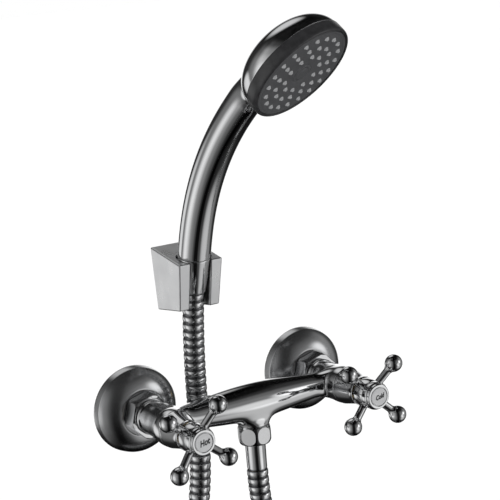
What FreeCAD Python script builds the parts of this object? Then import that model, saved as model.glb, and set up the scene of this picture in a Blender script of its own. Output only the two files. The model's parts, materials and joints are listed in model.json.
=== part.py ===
import FreeCAD, Part
import math
import os

from FreeCAD import Vector

# Two-handle shower mixer with its hose, handset and wall bracket, in millimetres.
# Origin on the wall, midway between the two inlets at the height of the valve axes.
# +X runs right along the wall, +Y into the wall and +Z up, so every visible piece has y below 0.
# A station is a distance out from the wall, so a station of 50 lies at y = -50.

# Standard threads and fits
G34_RADIUS = 13.22
G12_RADIUS = 10.48
THREAD_FIT = 0.05
RUNNING_FIT = 0.08
FACE_GAP = 0.3

# Inlets, unions and escutcheons
INLET_SPACING = 150.0
UNION_OFFSET = 8.0
WALL_THREAD_LENGTH = 15.0
UNION_BODY_DEPTH = 7.5
UNION_BORE_RADIUS = 7.0
UNION_END = 22.5
ESCUTCHEON_RIM_RADIUS = 33.8
ESCUTCHEON_BAND_RADIUS = 32.5
ESCUTCHEON_BAND_DEPTH = 7.1
ESCUTCHEON_LAND_RADIUS = 17.6
ESCUTCHEON_DEPTH = 16.6
ESCUTCHEON_WALL = 1.2
ESCUTCHEON_BULGE_OUT = 1.6
ESCUTCHEON_BULGE_UP = 1.1
ESCUTCHEON_COLLAR_LENGTH = 6.5

# Union nuts and tailpieces
UNION_NUT_FLATS = 30.0
UNION_NUT_LENGTH = 13.2
UNION_NUT_TURN = 15.0
UNION_NUT_CHAMFER = 0.9
UNION_NUT_BELLY = 0.2
WASHER_THICKNESS = 1.7
TAIL_FLANGE_RADIUS = 13.0
TAIL_FLANGE_THICKNESS = 1.8
TAIL_NECK_RADIUS = 10.3
TAIL_BORE_RADIUS = 7.8
TAIL_THREAD_LENGTH = 9.5

# Cast body
BARREL_START = 30.6
BARREL_RADIUS = 12.6
COLLAR_RADIUS = 13.4
COLLAR_LENGTH = 2.2
BARREL_FLARE_START = 50.0
BARREL_FLARE_END = 63.0
BARREL_FRONT_RADIUS = 14.6
BARREL_FRONT = 70.0
BARREL_SEAM_RADIUS = 14.2
BAR_STATION = 50.0
BAR_END_RADIUS = 9.2
BAR_SHOULDER = 25.0
BAR_SHOULDER_RADIUS = 13.0
BAR_ROOT_FILLET = 3.0
WATERWAY_RADIUS = 5.5
SEAT_STATION = 42.0
CHAMBER_RADIUS = 9.6
CHAMBER_END = 57.0
OUTLET_BOSS_RADIUS = 12.3
OUTLET_BOSS_BOTTOM = -17.6
OUTLET_FLARE_RADIUS = 13.0
OUTLET_THREAD_LENGTH = 10.5

# Ceramic headwork
HEADWORK_RADIUS = 8.6
HEADWORK_BASE_GAP = 1.2
SEAT_SEAL_OUTER = 7.4
SEAT_SEAL_INNER = 5.6
SEAT_SEAL_HEIGHT = 2.4
DISC_RADIUS = 7.5
DISC_THICKNESS = 2.7
DISC_WINDOW_RADIUS = 6.4
DRIVER_HEIGHT = 5.2
DRIVER_HALF_WIDTH = 4.4
WINDOW_WIDTH = 9.0
HEADWORK_HEX_FLATS = 20.0
HEADWORK_HEX_HEIGHT = 4.6
GASKET_THICKNESS = 1.4
GASKET_OUTER = 11.4
HEADWORK_RELIEF_RADIUS = 8.8
HEADWORK_NECK_RADIUS = 8.0
HEADWORK_NECK_LENGTH = 4.5
SPINDLE_RADIUS = 3.95
SPINDLE_END = 98.0
SPINDLE_SEAL_STATION = 62.0
SPINDLE_SEAL_RADIUS = 5.5
SPINDLE_SEAL_HEIGHT = 1.8
CLIP_RADIUS = 5.6
CLIP_GROOVE_RADIUS = 3.2
CLIP_OPENING = 2.6
CLIP_THICKNESS = 1.0

# Bonnet sleeves
SLEEVE_MIDDLE_STATION = 77.0
SLEEVE_MIDDLE_RADIUS = 12.7
SLEEVE_NECK_STATION = 87.0
SLEEVE_NECK_RADIUS = 10.7
SLEEVE_RIM_STATION = 90.4
SLEEVE_RIM_RADIUS = 11.4
SLEEVE_WALL = 1.1
SLEEVE_GRIP_LENGTH = 2.8

# Cross handles
HANDLE_BACK = 90.9
HUB_BACK_RADIUS = 9.0
HUB_RADIUS = 11.2
HUB_WIDEST = 94.5
HUB_FRONT = 103.0
HUB_FRONT_RADIUS = 10.0
ARM_STATION = 99.6
ARM_RADIUS = 3.0
BALL_STATION = 103.6
BALL_DISTANCE = 28.7
BALL_RADIUS = 6.8
HOT_REST_TURN = 6.9
COLD_REST_TURN = 1.0
SOCKET_DEPTH = 7.6
WEB_THICKNESS = 1.5
CAP_BORE_RADIUS = 8.2
SCREW_RADIUS = 2.45
SCREW_HEAD_RADIUS = 4.2
SCREW_HEAD_HEIGHT = 2.4
SCREW_LENGTH = 10.0
CAP_RADIUS = 10.7
CAP_SHOULDER_HEIGHT = 5.4
CAP_HEIGHT = 8.0
CAP_CROWN_SHARE = 0.58
CAP_FACE_RADIUS = 8.4
INDEX_RADIUS = 7.1
INDEX_THICKNESS = 2.2
INDEX_PROUD = 0.7
LETTER_HEIGHT = 6.4
LETTER_STROKE = 1.1
LETTER_RELIEF = 0.25

# Hose
HOSE_RADIUS = 8.2
HOSE_VALLEY_RADIUS = 7.6
HOSE_BORE_RADIUS = 5.2
RIB_PITCH = 6.2
HOSE_NUT_FLATS = 24.0
HOSE_NUT_LENGTH = 14.7
HOSE_NUT_CROWN = 11.7
HOSE_NUT_BELLY = 13.4
HOSE_NUT_TURN = 8.0
HOSE_NUT_GAP = 0.4
HOSE_WASHER_THICKNESS = 1.6
STEM_FLANGE_THICKNESS = 1.5
STEM_RADIUS = 4.95
STEM_BORE_RADIUS = 3.8
STEM_INSERTION = 15.0
FERRULE_RADIUS = 7.9
FERRULE_LENGTH = 22.6
COIL_CENTRE_X = -15.0
COIL_RADIUS = 91.5
COIL_TURNS = 1.5
COIL_START_Z = -233.5
TIE_WIDTH = 14.0
TIE_THICKNESS = 1.4
TIE_CLEARANCE = 0.5
TIE_ANGLE = 22.0

# Bracket and handset placing
BRACKET_X = -30.0
BRACKET_BOTTOM = 72.0
BRACKET_BACK_HEIGHT = 49.0
BRACKET_TOP_DEPTH = 45.0
BRACKET_TOP_DROP = 8.0
BRACKET_BOTTOM_DEPTH = 36.5
BRACKET_BOTTOM_RISE = 4.5
BRACKET_TOP_WIDTH = 37.0
BRACKET_BOTTOM_WIDTH = 33.5
BRACKET_PLATE_THICKNESS = 3.0
BRACKET_PLATE_MARGIN = 4.0
BRACKET_SCREW_RADIUS = 2.0
BRACKET_SCREW_HEAD_RADIUS = 3.9
BRACKET_SCREW_LENGTH = 30.0
BRACKET_SCREW_SPACING = 20.0
PLUG_RADIUS = 3.0
PLUG_START = 0.5
PLUG_LENGTH = 28.0
PLUG_RELIEF_DEPTH = 0.6
SLOT_WIDTH = 17.2
CONE_TILT = 13.0
CONE_LENGTH = 28.0
CONE_TOP_RADIUS = 12.6
CONE_BOTTOM_RADIUS = 9.6
CONE_SETBACK = 9.8
CONE_TOP_ABOVE = 1.2
CONE_THREAD_DEPTH = 9.0
CONE_BORE_RADIUS = 8.5
HANDSET_TURN = 17.0

# Handset
HANDLE_RADIUS = 12.5
HANDLE_WALL = 2.4
HANDLE_LENGTH = 150.0
HANDLE_BEND = 40.0
HEAD_RADIUS = 40.0
HEAD_OFFSET = 44.0
HEAD_TILT = -9.0
HEAD_RISE = 6.5
RING_BACK = 4.5
RING_FRONT = 13.5
RING_WALL = 2.6
DOME_APEX = 21.0
DOME_SHOULDER = 17.0
DOME_WALL = 2.2
PLATE_THICKNESS = 2.4
PLATE_RECESS = 0.8
MAT_THICKNESS = 1.4
NOZZLE_RADIUS = 1.3
NOZZLE_TIP_RADIUS = 0.9
NOZZLE_PROUD = 1.3
NOZZLE_RINGS = ((30.8, 20), (22.8, 15), (15.3, 10))
FLOW_PLATE_THICKNESS = 1.6
FLOW_HOLE_RADIUS = 3.0
FLOW_HOLE_DISTANCE = 20.0
FLOW_HOLES = 8
FLOW_PLATE_CLEARANCE = 0.1
RING_LIP_WIDTH = 2.0
RING_LIP_THICKNESS = 1.2
SPRAY_SCREW_RADIUS = 1.9
SPRAY_BOSS_RADIUS = 4.0
EMBLEM_RADIUS = 5.5
EMBLEM_PROUD = 0.6
EMBLEM_EDGE = 0.3
EMBLEM_RECESS = 1.4
SPRAY_SCREW_HEAD_RADIUS = 3.4
SPRAY_SCREW_HEAD_HEIGHT = 0.9

# Derived stations along a valve axis
NUT_BACK = ESCUTCHEON_DEPTH + 0.2
NUT_FRONT = NUT_BACK + UNION_NUT_LENGTH
TAIL_FLANGE_BACK = UNION_END + WASHER_THICKNESS
TAIL_FLANGE_FRONT = TAIL_FLANGE_BACK + TAIL_FLANGE_THICKNESS
TAIL_END = BARREL_START + TAIL_THREAD_LENGTH
DISC_BACK = SEAT_STATION + SEAT_SEAL_HEIGHT
DISC_MEETING = DISC_BACK + DISC_THICKNESS
MOVING_DISC_BACK = DISC_MEETING + RUNNING_FIT
MOVING_DISC_FRONT = MOVING_DISC_BACK + DISC_THICKNESS
DRIVER_FRONT = MOVING_DISC_FRONT + DRIVER_HEIGHT
SPINDLE_SEAL_FRONT = SPINDLE_SEAL_STATION + SPINDLE_SEAL_HEIGHT
HEX_BACK = BARREL_FRONT + GASKET_THICKNESS
HEX_FRONT = HEX_BACK + HEADWORK_HEX_HEIGHT
NECK_FRONT = HEX_FRONT + HEADWORK_NECK_LENGTH
CLIP_BACK = NECK_FRONT + RUNNING_FIT
WEB_BACK = HANDLE_BACK + SOCKET_DEPTH
WEB_FRONT = WEB_BACK + WEB_THICKNESS
CAP_SHOULDER = HUB_FRONT + CAP_SHOULDER_HEIGHT
CAP_FRONT = HUB_FRONT + CAP_HEIGHT
SIDES = (("hot", -1.0, HOT_REST_TURN), ("cold", 1.0, COLD_REST_TURN))

# Derived heights down the outlet
OUTLET_THREAD_BOTTOM = OUTLET_BOSS_BOTTOM - OUTLET_THREAD_LENGTH
HOSE_WASHER_BOTTOM = OUTLET_THREAD_BOTTOM - HOSE_WASHER_THICKNESS
STEM_FLANGE_BOTTOM = HOSE_WASHER_BOTTOM - STEM_FLANGE_THICKNESS
FERRULE_BOTTOM = STEM_FLANGE_BOTTOM - FERRULE_LENGTH

# Derived places of the bracket's cone and the handset
TILT = math.radians(CONE_TILT)
CONE_AXIS = Vector(0, -math.sin(TILT), math.cos(TILT))
CONE_TOP_Y = -(BRACKET_TOP_DEPTH - CONE_SETBACK)
CONE_TOP_Z = (BRACKET_BOTTOM + BRACKET_BACK_HEIGHT + CONE_TOP_ABOVE
              + CONE_TOP_Y * BRACKET_TOP_DROP / BRACKET_TOP_DEPTH)
CONE_TOP = Vector(BRACKET_X, CONE_TOP_Y, CONE_TOP_Z)
CONE_WASHER_DEPTH = CONE_THREAD_DEPTH + HOSE_WASHER_THICKNESS
CONE_STEM_DEPTH = CONE_WASHER_DEPTH + RUNNING_FIT
CONE_FLANGE_DEPTH = CONE_STEM_DEPTH + STEM_FLANGE_THICKNESS
RISER_END_DEPTH = CONE_LENGTH
RISER_FERRULE_LENGTH = RISER_END_DEPTH - CONE_FLANGE_DEPTH

OUTLET_AXIS = Vector(0, -BAR_STATION, 0)

# Derived heights in the head, towards the spray
PLATE_FRONT = RING_FRONT - PLATE_RECESS
PLATE_BACK = PLATE_FRONT - PLATE_THICKNESS
LIP_BACK = PLATE_BACK - RING_LIP_THICKNESS
FLOW_PLATE_BACK = RING_BACK + FLOW_PLATE_CLEARANCE
FLOW_PLATE_FRONT = FLOW_PLATE_BACK + FLOW_PLATE_THICKNESS
RING_INNER_RADIUS = HEAD_RADIUS - RING_WALL
EMBLEM_SEAT = PLATE_FRONT - EMBLEM_RECESS


def frame_to(origin, direction):
    """Placement that carries the local Z axis onto a direction through an origin."""
    return FreeCAD.Placement(origin, FreeCAD.Rotation(Vector(0, 0, 1), direction))


def outline_face(points):
    """Face in the XZ plane from (radius, height) corners; a 3-tuple is the middle of an arc."""
    edges = []
    closed = list(points) + [points[0]]
    start = closed[0]
    middle = None
    for point in closed[1:]:
        if len(point) == 3:
            middle = point
            continue
        first = Vector(start[0], 0, start[1])
        last = Vector(point[0], 0, point[1])
        if middle is None:
            edges.append(Part.LineSegment(first, last).toShape())
        else:
            through = Vector(middle[0], 0, middle[1])
            edges.append(Part.Arc(first, through, last).toShape())
        start = point
        middle = None
    return Part.Face(Part.Wire(edges))


def turned(points):
    """Solid of revolution about Z of a closed (radius, height) outline, listed up its outer side."""
    return outline_face(points).revolve(Vector(0, 0, 0), Vector(0, 0, 1), 360)


def rod(radius, low, high):
    """Cylinder about Z between two heights."""
    return Part.makeCylinder(radius, high - low, Vector(0, 0, low))


def tube(outer, inner, low, high):
    """Hollow cylinder about Z between two heights."""
    return rod(outer, low, high).cut(rod(inner, low, high))


def hexagon(flats, low, high):
    """Hexagonal prism about Z with two corners on the X axis."""
    corner = flats / math.sqrt(3.0)
    points = []
    for step in range(7):
        angle = math.radians(60 * step)
        points.append(Vector(corner * math.cos(angle), corner * math.sin(angle), low))
    return Part.Face(Part.makePolygon(points)).extrude(Vector(0, 0, high - low))


def chamfered_hexagon(flats, low, high, crown, belly):
    """Hexagonal prism turned down to a barrel, of one radius at both ends and another halfway."""
    middle = (low + high) / 2
    barrel = turned([(0, low), (crown, low), (belly, middle, "arc"), (crown, high), (0, high)])
    return hexagon(flats, low, high).common(barrel)


def facing_out(shape, x, z=0.0):
    """Place a piece drawn about Z so that its heights become stations out from the wall."""
    shape = shape.copy()
    shape.Placement = frame_to(Vector(x, 0, z), Vector(0, -1, 0)).multiply(shape.Placement)
    return shape


def fused(shapes):
    """One solid from overlapping pieces, with its seams cleaned."""
    whole = shapes[0].multiFuse(shapes[1:])
    return whole.removeSplitter()


def side_x(sign):
    return sign * INLET_SPACING / 2


def make_union(sign):
    """Eccentric union that screws into the wall fitting below the valve axis."""
    body_radius = UNION_OFFSET / 2 + G34_RADIUS + 0.3
    wall_pin = rod(G12_RADIUS, -WALL_THREAD_LENGTH, UNION_BODY_DEPTH / 2)
    body = rod(body_radius, 0, UNION_BODY_DEPTH)
    nut_pin = rod(G34_RADIUS, UNION_BODY_DEPTH / 2, UNION_END)
    wall_bore = rod(UNION_BORE_RADIUS, -WALL_THREAD_LENGTH, UNION_BODY_DEPTH * 0.7)
    nut_bore = rod(TAIL_BORE_RADIUS, UNION_BODY_DEPTH * 0.3, UNION_END)
    x = side_x(sign)
    solid = fused([facing_out(body, x, -UNION_OFFSET / 2),
                   facing_out(wall_pin, x, -UNION_OFFSET),
                   facing_out(nut_pin, x)])
    solid = solid.cut(facing_out(wall_bore, x, -UNION_OFFSET))
    return solid.cut(facing_out(nut_bore, x))


def make_escutcheon(sign):
    """Domed wall cover that screws along the union's front thread."""
    rim = ESCUTCHEON_RIM_RADIUS
    band = ESCUTCHEON_BAND_RADIUS
    depth = ESCUTCHEON_DEPTH
    wall = ESCUTCHEON_WALL
    collar = G34_RADIUS + THREAD_FIT
    collar_back = depth - ESCUTCHEON_COLLAR_LENGTH
    middle = ((band + ESCUTCHEON_LAND_RADIUS) / 2 + ESCUTCHEON_BULGE_OUT,
              (ESCUTCHEON_BAND_DEPTH + depth) / 2 + ESCUTCHEON_BULGE_UP)
    shell = turned([(rim, 0), (band, ESCUTCHEON_BAND_DEPTH), (middle[0], middle[1], "arc"),
                    (ESCUTCHEON_LAND_RADIUS, depth), (collar, depth), (collar, collar_back),
                    (collar + wall, collar_back), (collar + wall, depth - wall - 0.6),
                    (ESCUTCHEON_LAND_RADIUS - 0.6, depth - wall - 0.6),
                    (middle[0] - 0.6, middle[1] - wall - 0.4, "arc"),
                    (band - wall, ESCUTCHEON_BAND_DEPTH - 0.8), (rim - wall, 0)])
    return facing_out(shell, side_x(sign))


def make_union_nut(sign):
    """Hexagonal nut that draws the tailpiece flange against the union."""
    corner = UNION_NUT_FLATS / math.sqrt(3.0)
    crown = corner - UNION_NUT_CHAMFER
    nut = chamfered_hexagon(UNION_NUT_FLATS, NUT_BACK, NUT_FRONT, crown, corner + UNION_NUT_BELLY)
    nut = nut.cut(rod(G34_RADIUS + THREAD_FIT, NUT_BACK, TAIL_FLANGE_FRONT))
    nut = nut.cut(rod(TAIL_NECK_RADIUS + FACE_GAP, TAIL_FLANGE_FRONT, NUT_FRONT))
    nut.rotate(Vector(0, 0, 0), Vector(0, 0, 1), UNION_NUT_TURN)
    return facing_out(nut, side_x(sign))


def make_tailpiece(sign):
    """Flanged tube that screws into the casting and is held by the union nut."""
    solid = fused([rod(TAIL_FLANGE_RADIUS, TAIL_FLANGE_BACK, TAIL_FLANGE_FRONT),
                   rod(TAIL_NECK_RADIUS, TAIL_FLANGE_BACK, BARREL_START + 1.0),
                   rod(G12_RADIUS - THREAD_FIT, BARREL_START + 1.0, TAIL_END)])
    solid = solid.cut(rod(TAIL_BORE_RADIUS, TAIL_FLANGE_BACK, TAIL_END))
    return facing_out(solid, side_x(sign))


def make_inlet_washers():
    ring = tube(TAIL_FLANGE_RADIUS - 0.6, TAIL_BORE_RADIUS, UNION_END, TAIL_FLANGE_BACK)
    return Part.makeCompound([facing_out(ring, side_x(sign)) for _, sign, _ in SIDES])


def bar_radius(x):
    """Outer radius of the crossbar at a distance from its middle."""
    slope = (BAR_SHOULDER_RADIUS - BAR_END_RADIUS) / (INLET_SPACING / 2 - BARREL_RADIUS - BAR_SHOULDER)
    if abs(x) >= BAR_SHOULDER:
        return BAR_SHOULDER_RADIUS - slope * (abs(x) - BAR_SHOULDER)
    return BAR_SHOULDER_RADIUS + slope * (BAR_SHOULDER ** 2 - x ** 2) / (2 * BAR_SHOULDER)


def make_bar():
    """Crossbar, thickest in the middle, along X through both valve axes."""
    reach = INLET_SPACING / 2
    end = bar_radius(reach)
    bar = turned([(0, -reach), (end, -reach), (BAR_SHOULDER_RADIUS, -BAR_SHOULDER),
                  (bar_radius(0), 0, "arc"), (BAR_SHOULDER_RADIUS, BAR_SHOULDER), (end, reach),
                  (0, reach)])
    bar.Placement = frame_to(OUTLET_AXIS, Vector(1, 0, 0))
    return bar


def ogee(radius, station, next_radius, next_station):
    """Corners of two equal tangent arcs that carry one straight side over to a wider one."""
    length = next_station - station
    rise = next_radius - radius
    angle = 2 * math.atan(rise / length)
    arc = length / 2 / math.sin(angle)
    along = arc * math.sin(angle / 2)
    out = arc * (1 - math.cos(angle / 2))
    return [(radius, station), (radius + out, station + along, "arc"),
            (radius + rise / 2, station + length / 2),
            (next_radius - out, next_station - along, "arc"), (next_radius, next_station)]


def arch(radius, spring, apex, shoulder):
    """Corners of a round crown and a tangent shoulder arc, from the apex on the axis to the spring line."""
    rise = abs(apex - spring)
    up = 1 if apex > spring else -1
    crown = ((radius - shoulder) ** 2 + rise ** 2 - shoulder ** 2) / (2 * (rise - shoulder))
    lean = math.atan2(radius - shoulder, crown - rise)
    centre = apex - up * crown
    middle = (lean + math.pi / 2) / 2
    turn_out = radius - shoulder + shoulder * math.sin(middle)
    return [(0, apex), (crown * math.sin(lean / 2), centre + up * crown * math.cos(lean / 2), "arc"),
            (crown * math.sin(lean), centre + up * crown * math.cos(lean)),
            (turn_out, spring + up * shoulder * math.cos(middle), "arc"), (radius, spring)]


def barrel_outside():
    """Outer outline of one valve barrel, from its collar to its front seam."""
    start = BARREL_START
    collar_end = start + COLLAR_LENGTH
    return ([(0, start), (COLLAR_RADIUS - 0.5, start), (COLLAR_RADIUS, start + 0.5),
             (COLLAR_RADIUS, collar_end - 0.5), (BARREL_RADIUS, collar_end + 0.3)]
            + ogee(BARREL_RADIUS, BARREL_FLARE_START, BARREL_FRONT_RADIUS, BARREL_FLARE_END)
            + [(BARREL_SEAM_RADIUS, BARREL_FRONT), (0, BARREL_FRONT)])


def make_outlet_boss():
    """Boss that flares out of the crossbar down to the outlet thread."""
    sections = []
    top = -2.0
    steps = 5
    for step in range(steps + 1):
        share = step / steps
        height = OUTLET_BOSS_BOTTOM + share * (top - OUTLET_BOSS_BOTTOM)
        rise = min((height - OUTLET_BOSS_BOTTOM) / (top - OUTLET_BOSS_BOTTOM), 0.98)
        flare = OUTLET_FLARE_RADIUS * (1 - math.sqrt(1 - rise ** 2))
        wide = OUTLET_BOSS_RADIUS + flare
        deep = OUTLET_BOSS_RADIUS + 0.9 * rise
        ellipse = Part.Ellipse(Vector(0, -BAR_STATION, height), wide, deep)
        sections.append(Part.Wire([ellipse.toShape()]))
    return Part.makeLoft(sections, True)


def make_body_casting():
    """One brass casting: two valve barrels, the crossbar and the outlet boss with its thread."""
    bar = make_bar()
    outlet_thread = rod(G12_RADIUS, OUTLET_THREAD_BOTTOM, OUTLET_BOSS_BOTTOM + 2)
    outlet_thread.translate(OUTLET_AXIS)
    barrels = [facing_out(turned(barrel_outside()), side_x(sign)) for _, sign, _ in SIDES]
    outside = bar.multiFuse(barrels)
    roots = []
    for edge in outside.Edges:
        middle = edge.valueAt((edge.FirstParameter + edge.LastParameter) / 2)
        inward = INLET_SPACING / 2 - abs(middle.x)
        at_barrel = 0.1 * BARREL_RADIUS < inward < 1.2 * BARREL_RADIUS
        at_bar = abs(middle.y + BAR_STATION) < 1.1 * BAR_END_RADIUS
        if at_barrel and at_bar and edge.Length > BAR_END_RADIUS / 2:
            roots.append(edge)
    outside = outside.makeFillet(BAR_ROOT_FILLET, roots)
    outside = outside.multiFuse([make_outlet_boss(), outlet_thread]).removeSplitter()
    cuts = []
    for _, sign, _ in SIDES:
        x = side_x(sign)
        cuts.append(facing_out(rod(G12_RADIUS, BARREL_START, TAIL_END), x))
        cuts.append(facing_out(rod(WATERWAY_RADIUS, TAIL_END - 1, SEAT_STATION + 1), x))
        cuts.append(facing_out(rod(CHAMBER_RADIUS, SEAT_STATION, CHAMBER_END), x))
        cuts.append(facing_out(rod(G12_RADIUS, CHAMBER_END, BARREL_FRONT), x))
    reach = INLET_SPACING / 2
    left_end = Vector(-reach, -BAR_STATION, 0)
    cross_bore = Part.makeCylinder(WATERWAY_RADIUS, 2 * reach, left_end, Vector(1, 0, 0))
    outlet_bore = rod(TAIL_BORE_RADIUS - 1, OUTLET_THREAD_BOTTOM, 0)
    outlet_bore.translate(OUTLET_AXIS)
    for cut in cuts + [cross_bore, outlet_bore]:
        outside = outside.cut(cut)
    return outside


def make_seat_seals():
    ring = tube(SEAT_SEAL_OUTER, SEAT_SEAL_INNER, SEAT_STATION, DISC_BACK)
    return Part.makeCompound([facing_out(ring, side_x(sign)) for _, sign, _ in SIDES])


def disc_windows(low, high, first):
    """Two opposite quarter sectors that water passes through, starting at an angle."""
    windows = []
    for start in (first, first + 180):
        sector = Part.makeCylinder(DISC_WINDOW_RADIUS, high - low, Vector(0, 0, low), Vector(0, 0, 1), 80)
        sector.rotate(Vector(0, 0, 0), Vector(0, 0, 1), start + 5)
        windows.append(sector.cut(rod(1.6, low, high)))
    return windows


def make_fixed_disc(sign):
    disc = rod(DISC_RADIUS, DISC_BACK, DISC_MEETING)
    for window in disc_windows(DISC_BACK, DISC_MEETING, 0):
        disc = disc.cut(window)
    return facing_out(disc, side_x(sign))


def make_moving_disc(sign):
    """Ceramic disc that stands a quarter turn from the fixed one while the valve is shut."""
    disc = rod(DISC_RADIUS, MOVING_DISC_BACK, MOVING_DISC_FRONT)
    for window in disc_windows(MOVING_DISC_BACK, MOVING_DISC_FRONT, 90):
        disc = disc.cut(window)
    return facing_out(disc, side_x(sign))


def make_headwork(sign):
    """Brass housing that screws into the barrel and carries the discs and the spindle."""
    base = SEAT_STATION + HEADWORK_BASE_GAP
    ceiling = DRIVER_FRONT + RUNNING_FIT
    solid = fused([rod(HEADWORK_RADIUS, base, CHAMBER_END + 1),
                   rod(G12_RADIUS - THREAD_FIT, CHAMBER_END + 1, BARREL_FRONT - 1),
                   rod(HEADWORK_RELIEF_RADIUS, BARREL_FRONT - 1, HEX_BACK),
                   hexagon(HEADWORK_HEX_FLATS, HEX_BACK, HEX_FRONT),
                   rod(HEADWORK_NECK_RADIUS, HEX_FRONT, NECK_FRONT)])
    solid = solid.cut(rod(SEAT_SEAL_OUTER, base, DISC_BACK))
    solid = solid.cut(rod(DISC_RADIUS + RUNNING_FIT, DISC_BACK, ceiling))
    solid = solid.cut(rod(SPINDLE_RADIUS + RUNNING_FIT, ceiling, NECK_FRONT))
    solid = solid.cut(rod(SPINDLE_SEAL_RADIUS, SPINDLE_SEAL_STATION, SPINDLE_SEAL_FRONT))
    window = Part.makeBox(4 * DISC_RADIUS, WINDOW_WIDTH, DRIVER_HEIGHT - 1,
                          Vector(-2 * DISC_RADIUS, -WINDOW_WIDTH / 2, MOVING_DISC_FRONT + 0.5))
    return facing_out(solid.cut(window), side_x(sign))


def make_headwork_gaskets():
    ring = tube(GASKET_OUTER, HEADWORK_RELIEF_RADIUS, BARREL_FRONT, HEX_BACK)
    return Part.makeCompound([facing_out(ring, side_x(sign)) for _, sign, _ in SIDES])


def make_spindle_seals():
    inner = SPINDLE_RADIUS + RUNNING_FIT / 2
    ring = tube(SPINDLE_SEAL_RADIUS, inner, SPINDLE_SEAL_STATION, SPINDLE_SEAL_FRONT)
    return Part.makeCompound([facing_out(ring, side_x(sign)) for _, sign, _ in SIDES])


def make_spindle(sign):
    """Spindle with the driver that turns the moving disc and the tapped end for the handle screw."""
    driver = rod(DISC_RADIUS, MOVING_DISC_FRONT, DRIVER_FRONT)
    for edge in (DRIVER_HALF_WIDTH, -DRIVER_HALF_WIDTH - DISC_RADIUS):
        corner = Vector(-2 * DISC_RADIUS, edge, MOVING_DISC_FRONT)
        driver = driver.cut(Part.makeBox(4 * DISC_RADIUS, DISC_RADIUS, DRIVER_HEIGHT, corner))
    solid = fused([driver, rod(SPINDLE_RADIUS, MOVING_DISC_FRONT, SPINDLE_END)])
    solid = solid.cut(tube(SPINDLE_RADIUS + 1, CLIP_GROOVE_RADIUS, CLIP_BACK, CLIP_BACK + CLIP_THICKNESS))
    solid = solid.cut(rod(SCREW_RADIUS + THREAD_FIT, WEB_FRONT - SCREW_LENGTH - 1, SPINDLE_END))
    return facing_out(solid, side_x(sign))


def make_clip(sign):
    """Snap ring that keeps the spindle in its housing."""
    ring = tube(CLIP_RADIUS, CLIP_GROOVE_RADIUS, CLIP_BACK, CLIP_BACK + CLIP_THICKNESS)
    gap = Part.makeBox(2 * CLIP_RADIUS, CLIP_OPENING, CLIP_THICKNESS, Vector(0, -CLIP_OPENING / 2, CLIP_BACK))
    return facing_out(ring.cut(gap), side_x(sign))


def make_sleeve(sign):
    """Bell-shaped cover over the headwork, from the casting's seam to a flared rim."""
    back = BARREL_FRONT + 0.05
    wall = SLEEVE_WALL
    outer = [(BARREL_SEAM_RADIUS, back), (SLEEVE_MIDDLE_RADIUS, SLEEVE_MIDDLE_STATION, "arc"),
             (SLEEVE_NECK_RADIUS, SLEEVE_NECK_STATION),
             (SLEEVE_NECK_RADIUS + 0.2, SLEEVE_NECK_STATION + 1.9, "arc"),
             (SLEEVE_RIM_RADIUS, SLEEVE_RIM_STATION)]
    grip_back = HEX_FRONT + 0.6
    grip_front = grip_back + SLEEVE_GRIP_LENGTH
    grip = HEADWORK_NECK_RADIUS + THREAD_FIT
    inner = [(SLEEVE_RIM_RADIUS - wall, SLEEVE_RIM_STATION), (SLEEVE_NECK_RADIUS - wall, SLEEVE_NECK_STATION),
             (SLEEVE_NECK_RADIUS - wall, grip_front), (grip, grip_front), (grip, grip_back),
             (SLEEVE_MIDDLE_RADIUS - wall, grip_back), (BARREL_SEAM_RADIUS - wall, BARREL_FRONT + 2.0),
             (BARREL_SEAM_RADIUS - wall, back)]
    return facing_out(turned(outer + inner), side_x(sign))


def make_cross_handle(sign, rest_turn):
    """Hub with four arms and balls in one casting, socketed on the spindle."""
    hub = turned([(0, HANDLE_BACK), (HUB_BACK_RADIUS, HANDLE_BACK),
                  (HUB_RADIUS - 0.5, HANDLE_BACK + 1.2, "arc"), (HUB_RADIUS, HUB_WIDEST),
                  (HUB_RADIUS - 0.2, HUB_WIDEST + 4.5, "arc"), (HUB_FRONT_RADIUS, HUB_FRONT),
                  (0, HUB_FRONT)])
    pieces = [hub]
    for quarter in range(4):
        turn = math.radians(45 + rest_turn + 90 * quarter)
        outward = Vector(math.cos(turn), math.sin(turn), 0)
        ball_centre = outward * BALL_DISTANCE + Vector(0, 0, BALL_STATION)
        root = outward * (HUB_FRONT_RADIUS / 2) + Vector(0, 0, ARM_STATION)
        along = ball_centre - root
        pieces.append(Part.makeCylinder(ARM_RADIUS, along.Length, root, along))
        neck_start = ball_centre - along * ((BALL_RADIUS + 2.4) / along.Length)
        pieces.append(Part.makeCone(ARM_RADIUS, ARM_RADIUS + 1.5, 4.4, neck_start, along))
        pieces.append(Part.makeSphere(BALL_RADIUS, ball_centre))
    solid = fused(pieces)
    solid = solid.cut(rod(SPINDLE_RADIUS + THREAD_FIT, HANDLE_BACK, WEB_BACK))
    solid = solid.cut(rod(SCREW_RADIUS + 0.2, WEB_BACK, WEB_FRONT))
    solid = solid.cut(rod(CAP_BORE_RADIUS, WEB_FRONT, HUB_FRONT))
    solid = solid.cut(rod(CAP_RADIUS + THREAD_FIT, HUB_FRONT, CAP_SHOULDER))
    return facing_out(solid, side_x(sign))


def make_handle_screw(sign):
    head = rod(SCREW_HEAD_RADIUS, WEB_FRONT, WEB_FRONT + SCREW_HEAD_HEIGHT)
    recess = hexagon(4.0, WEB_FRONT + 0.8, WEB_FRONT + SCREW_HEAD_HEIGHT)
    screw = head.cut(recess).fuse(rod(SCREW_RADIUS, WEB_FRONT - SCREW_LENGTH, WEB_FRONT))
    return facing_out(screw.removeSplitter(), side_x(sign))


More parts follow.
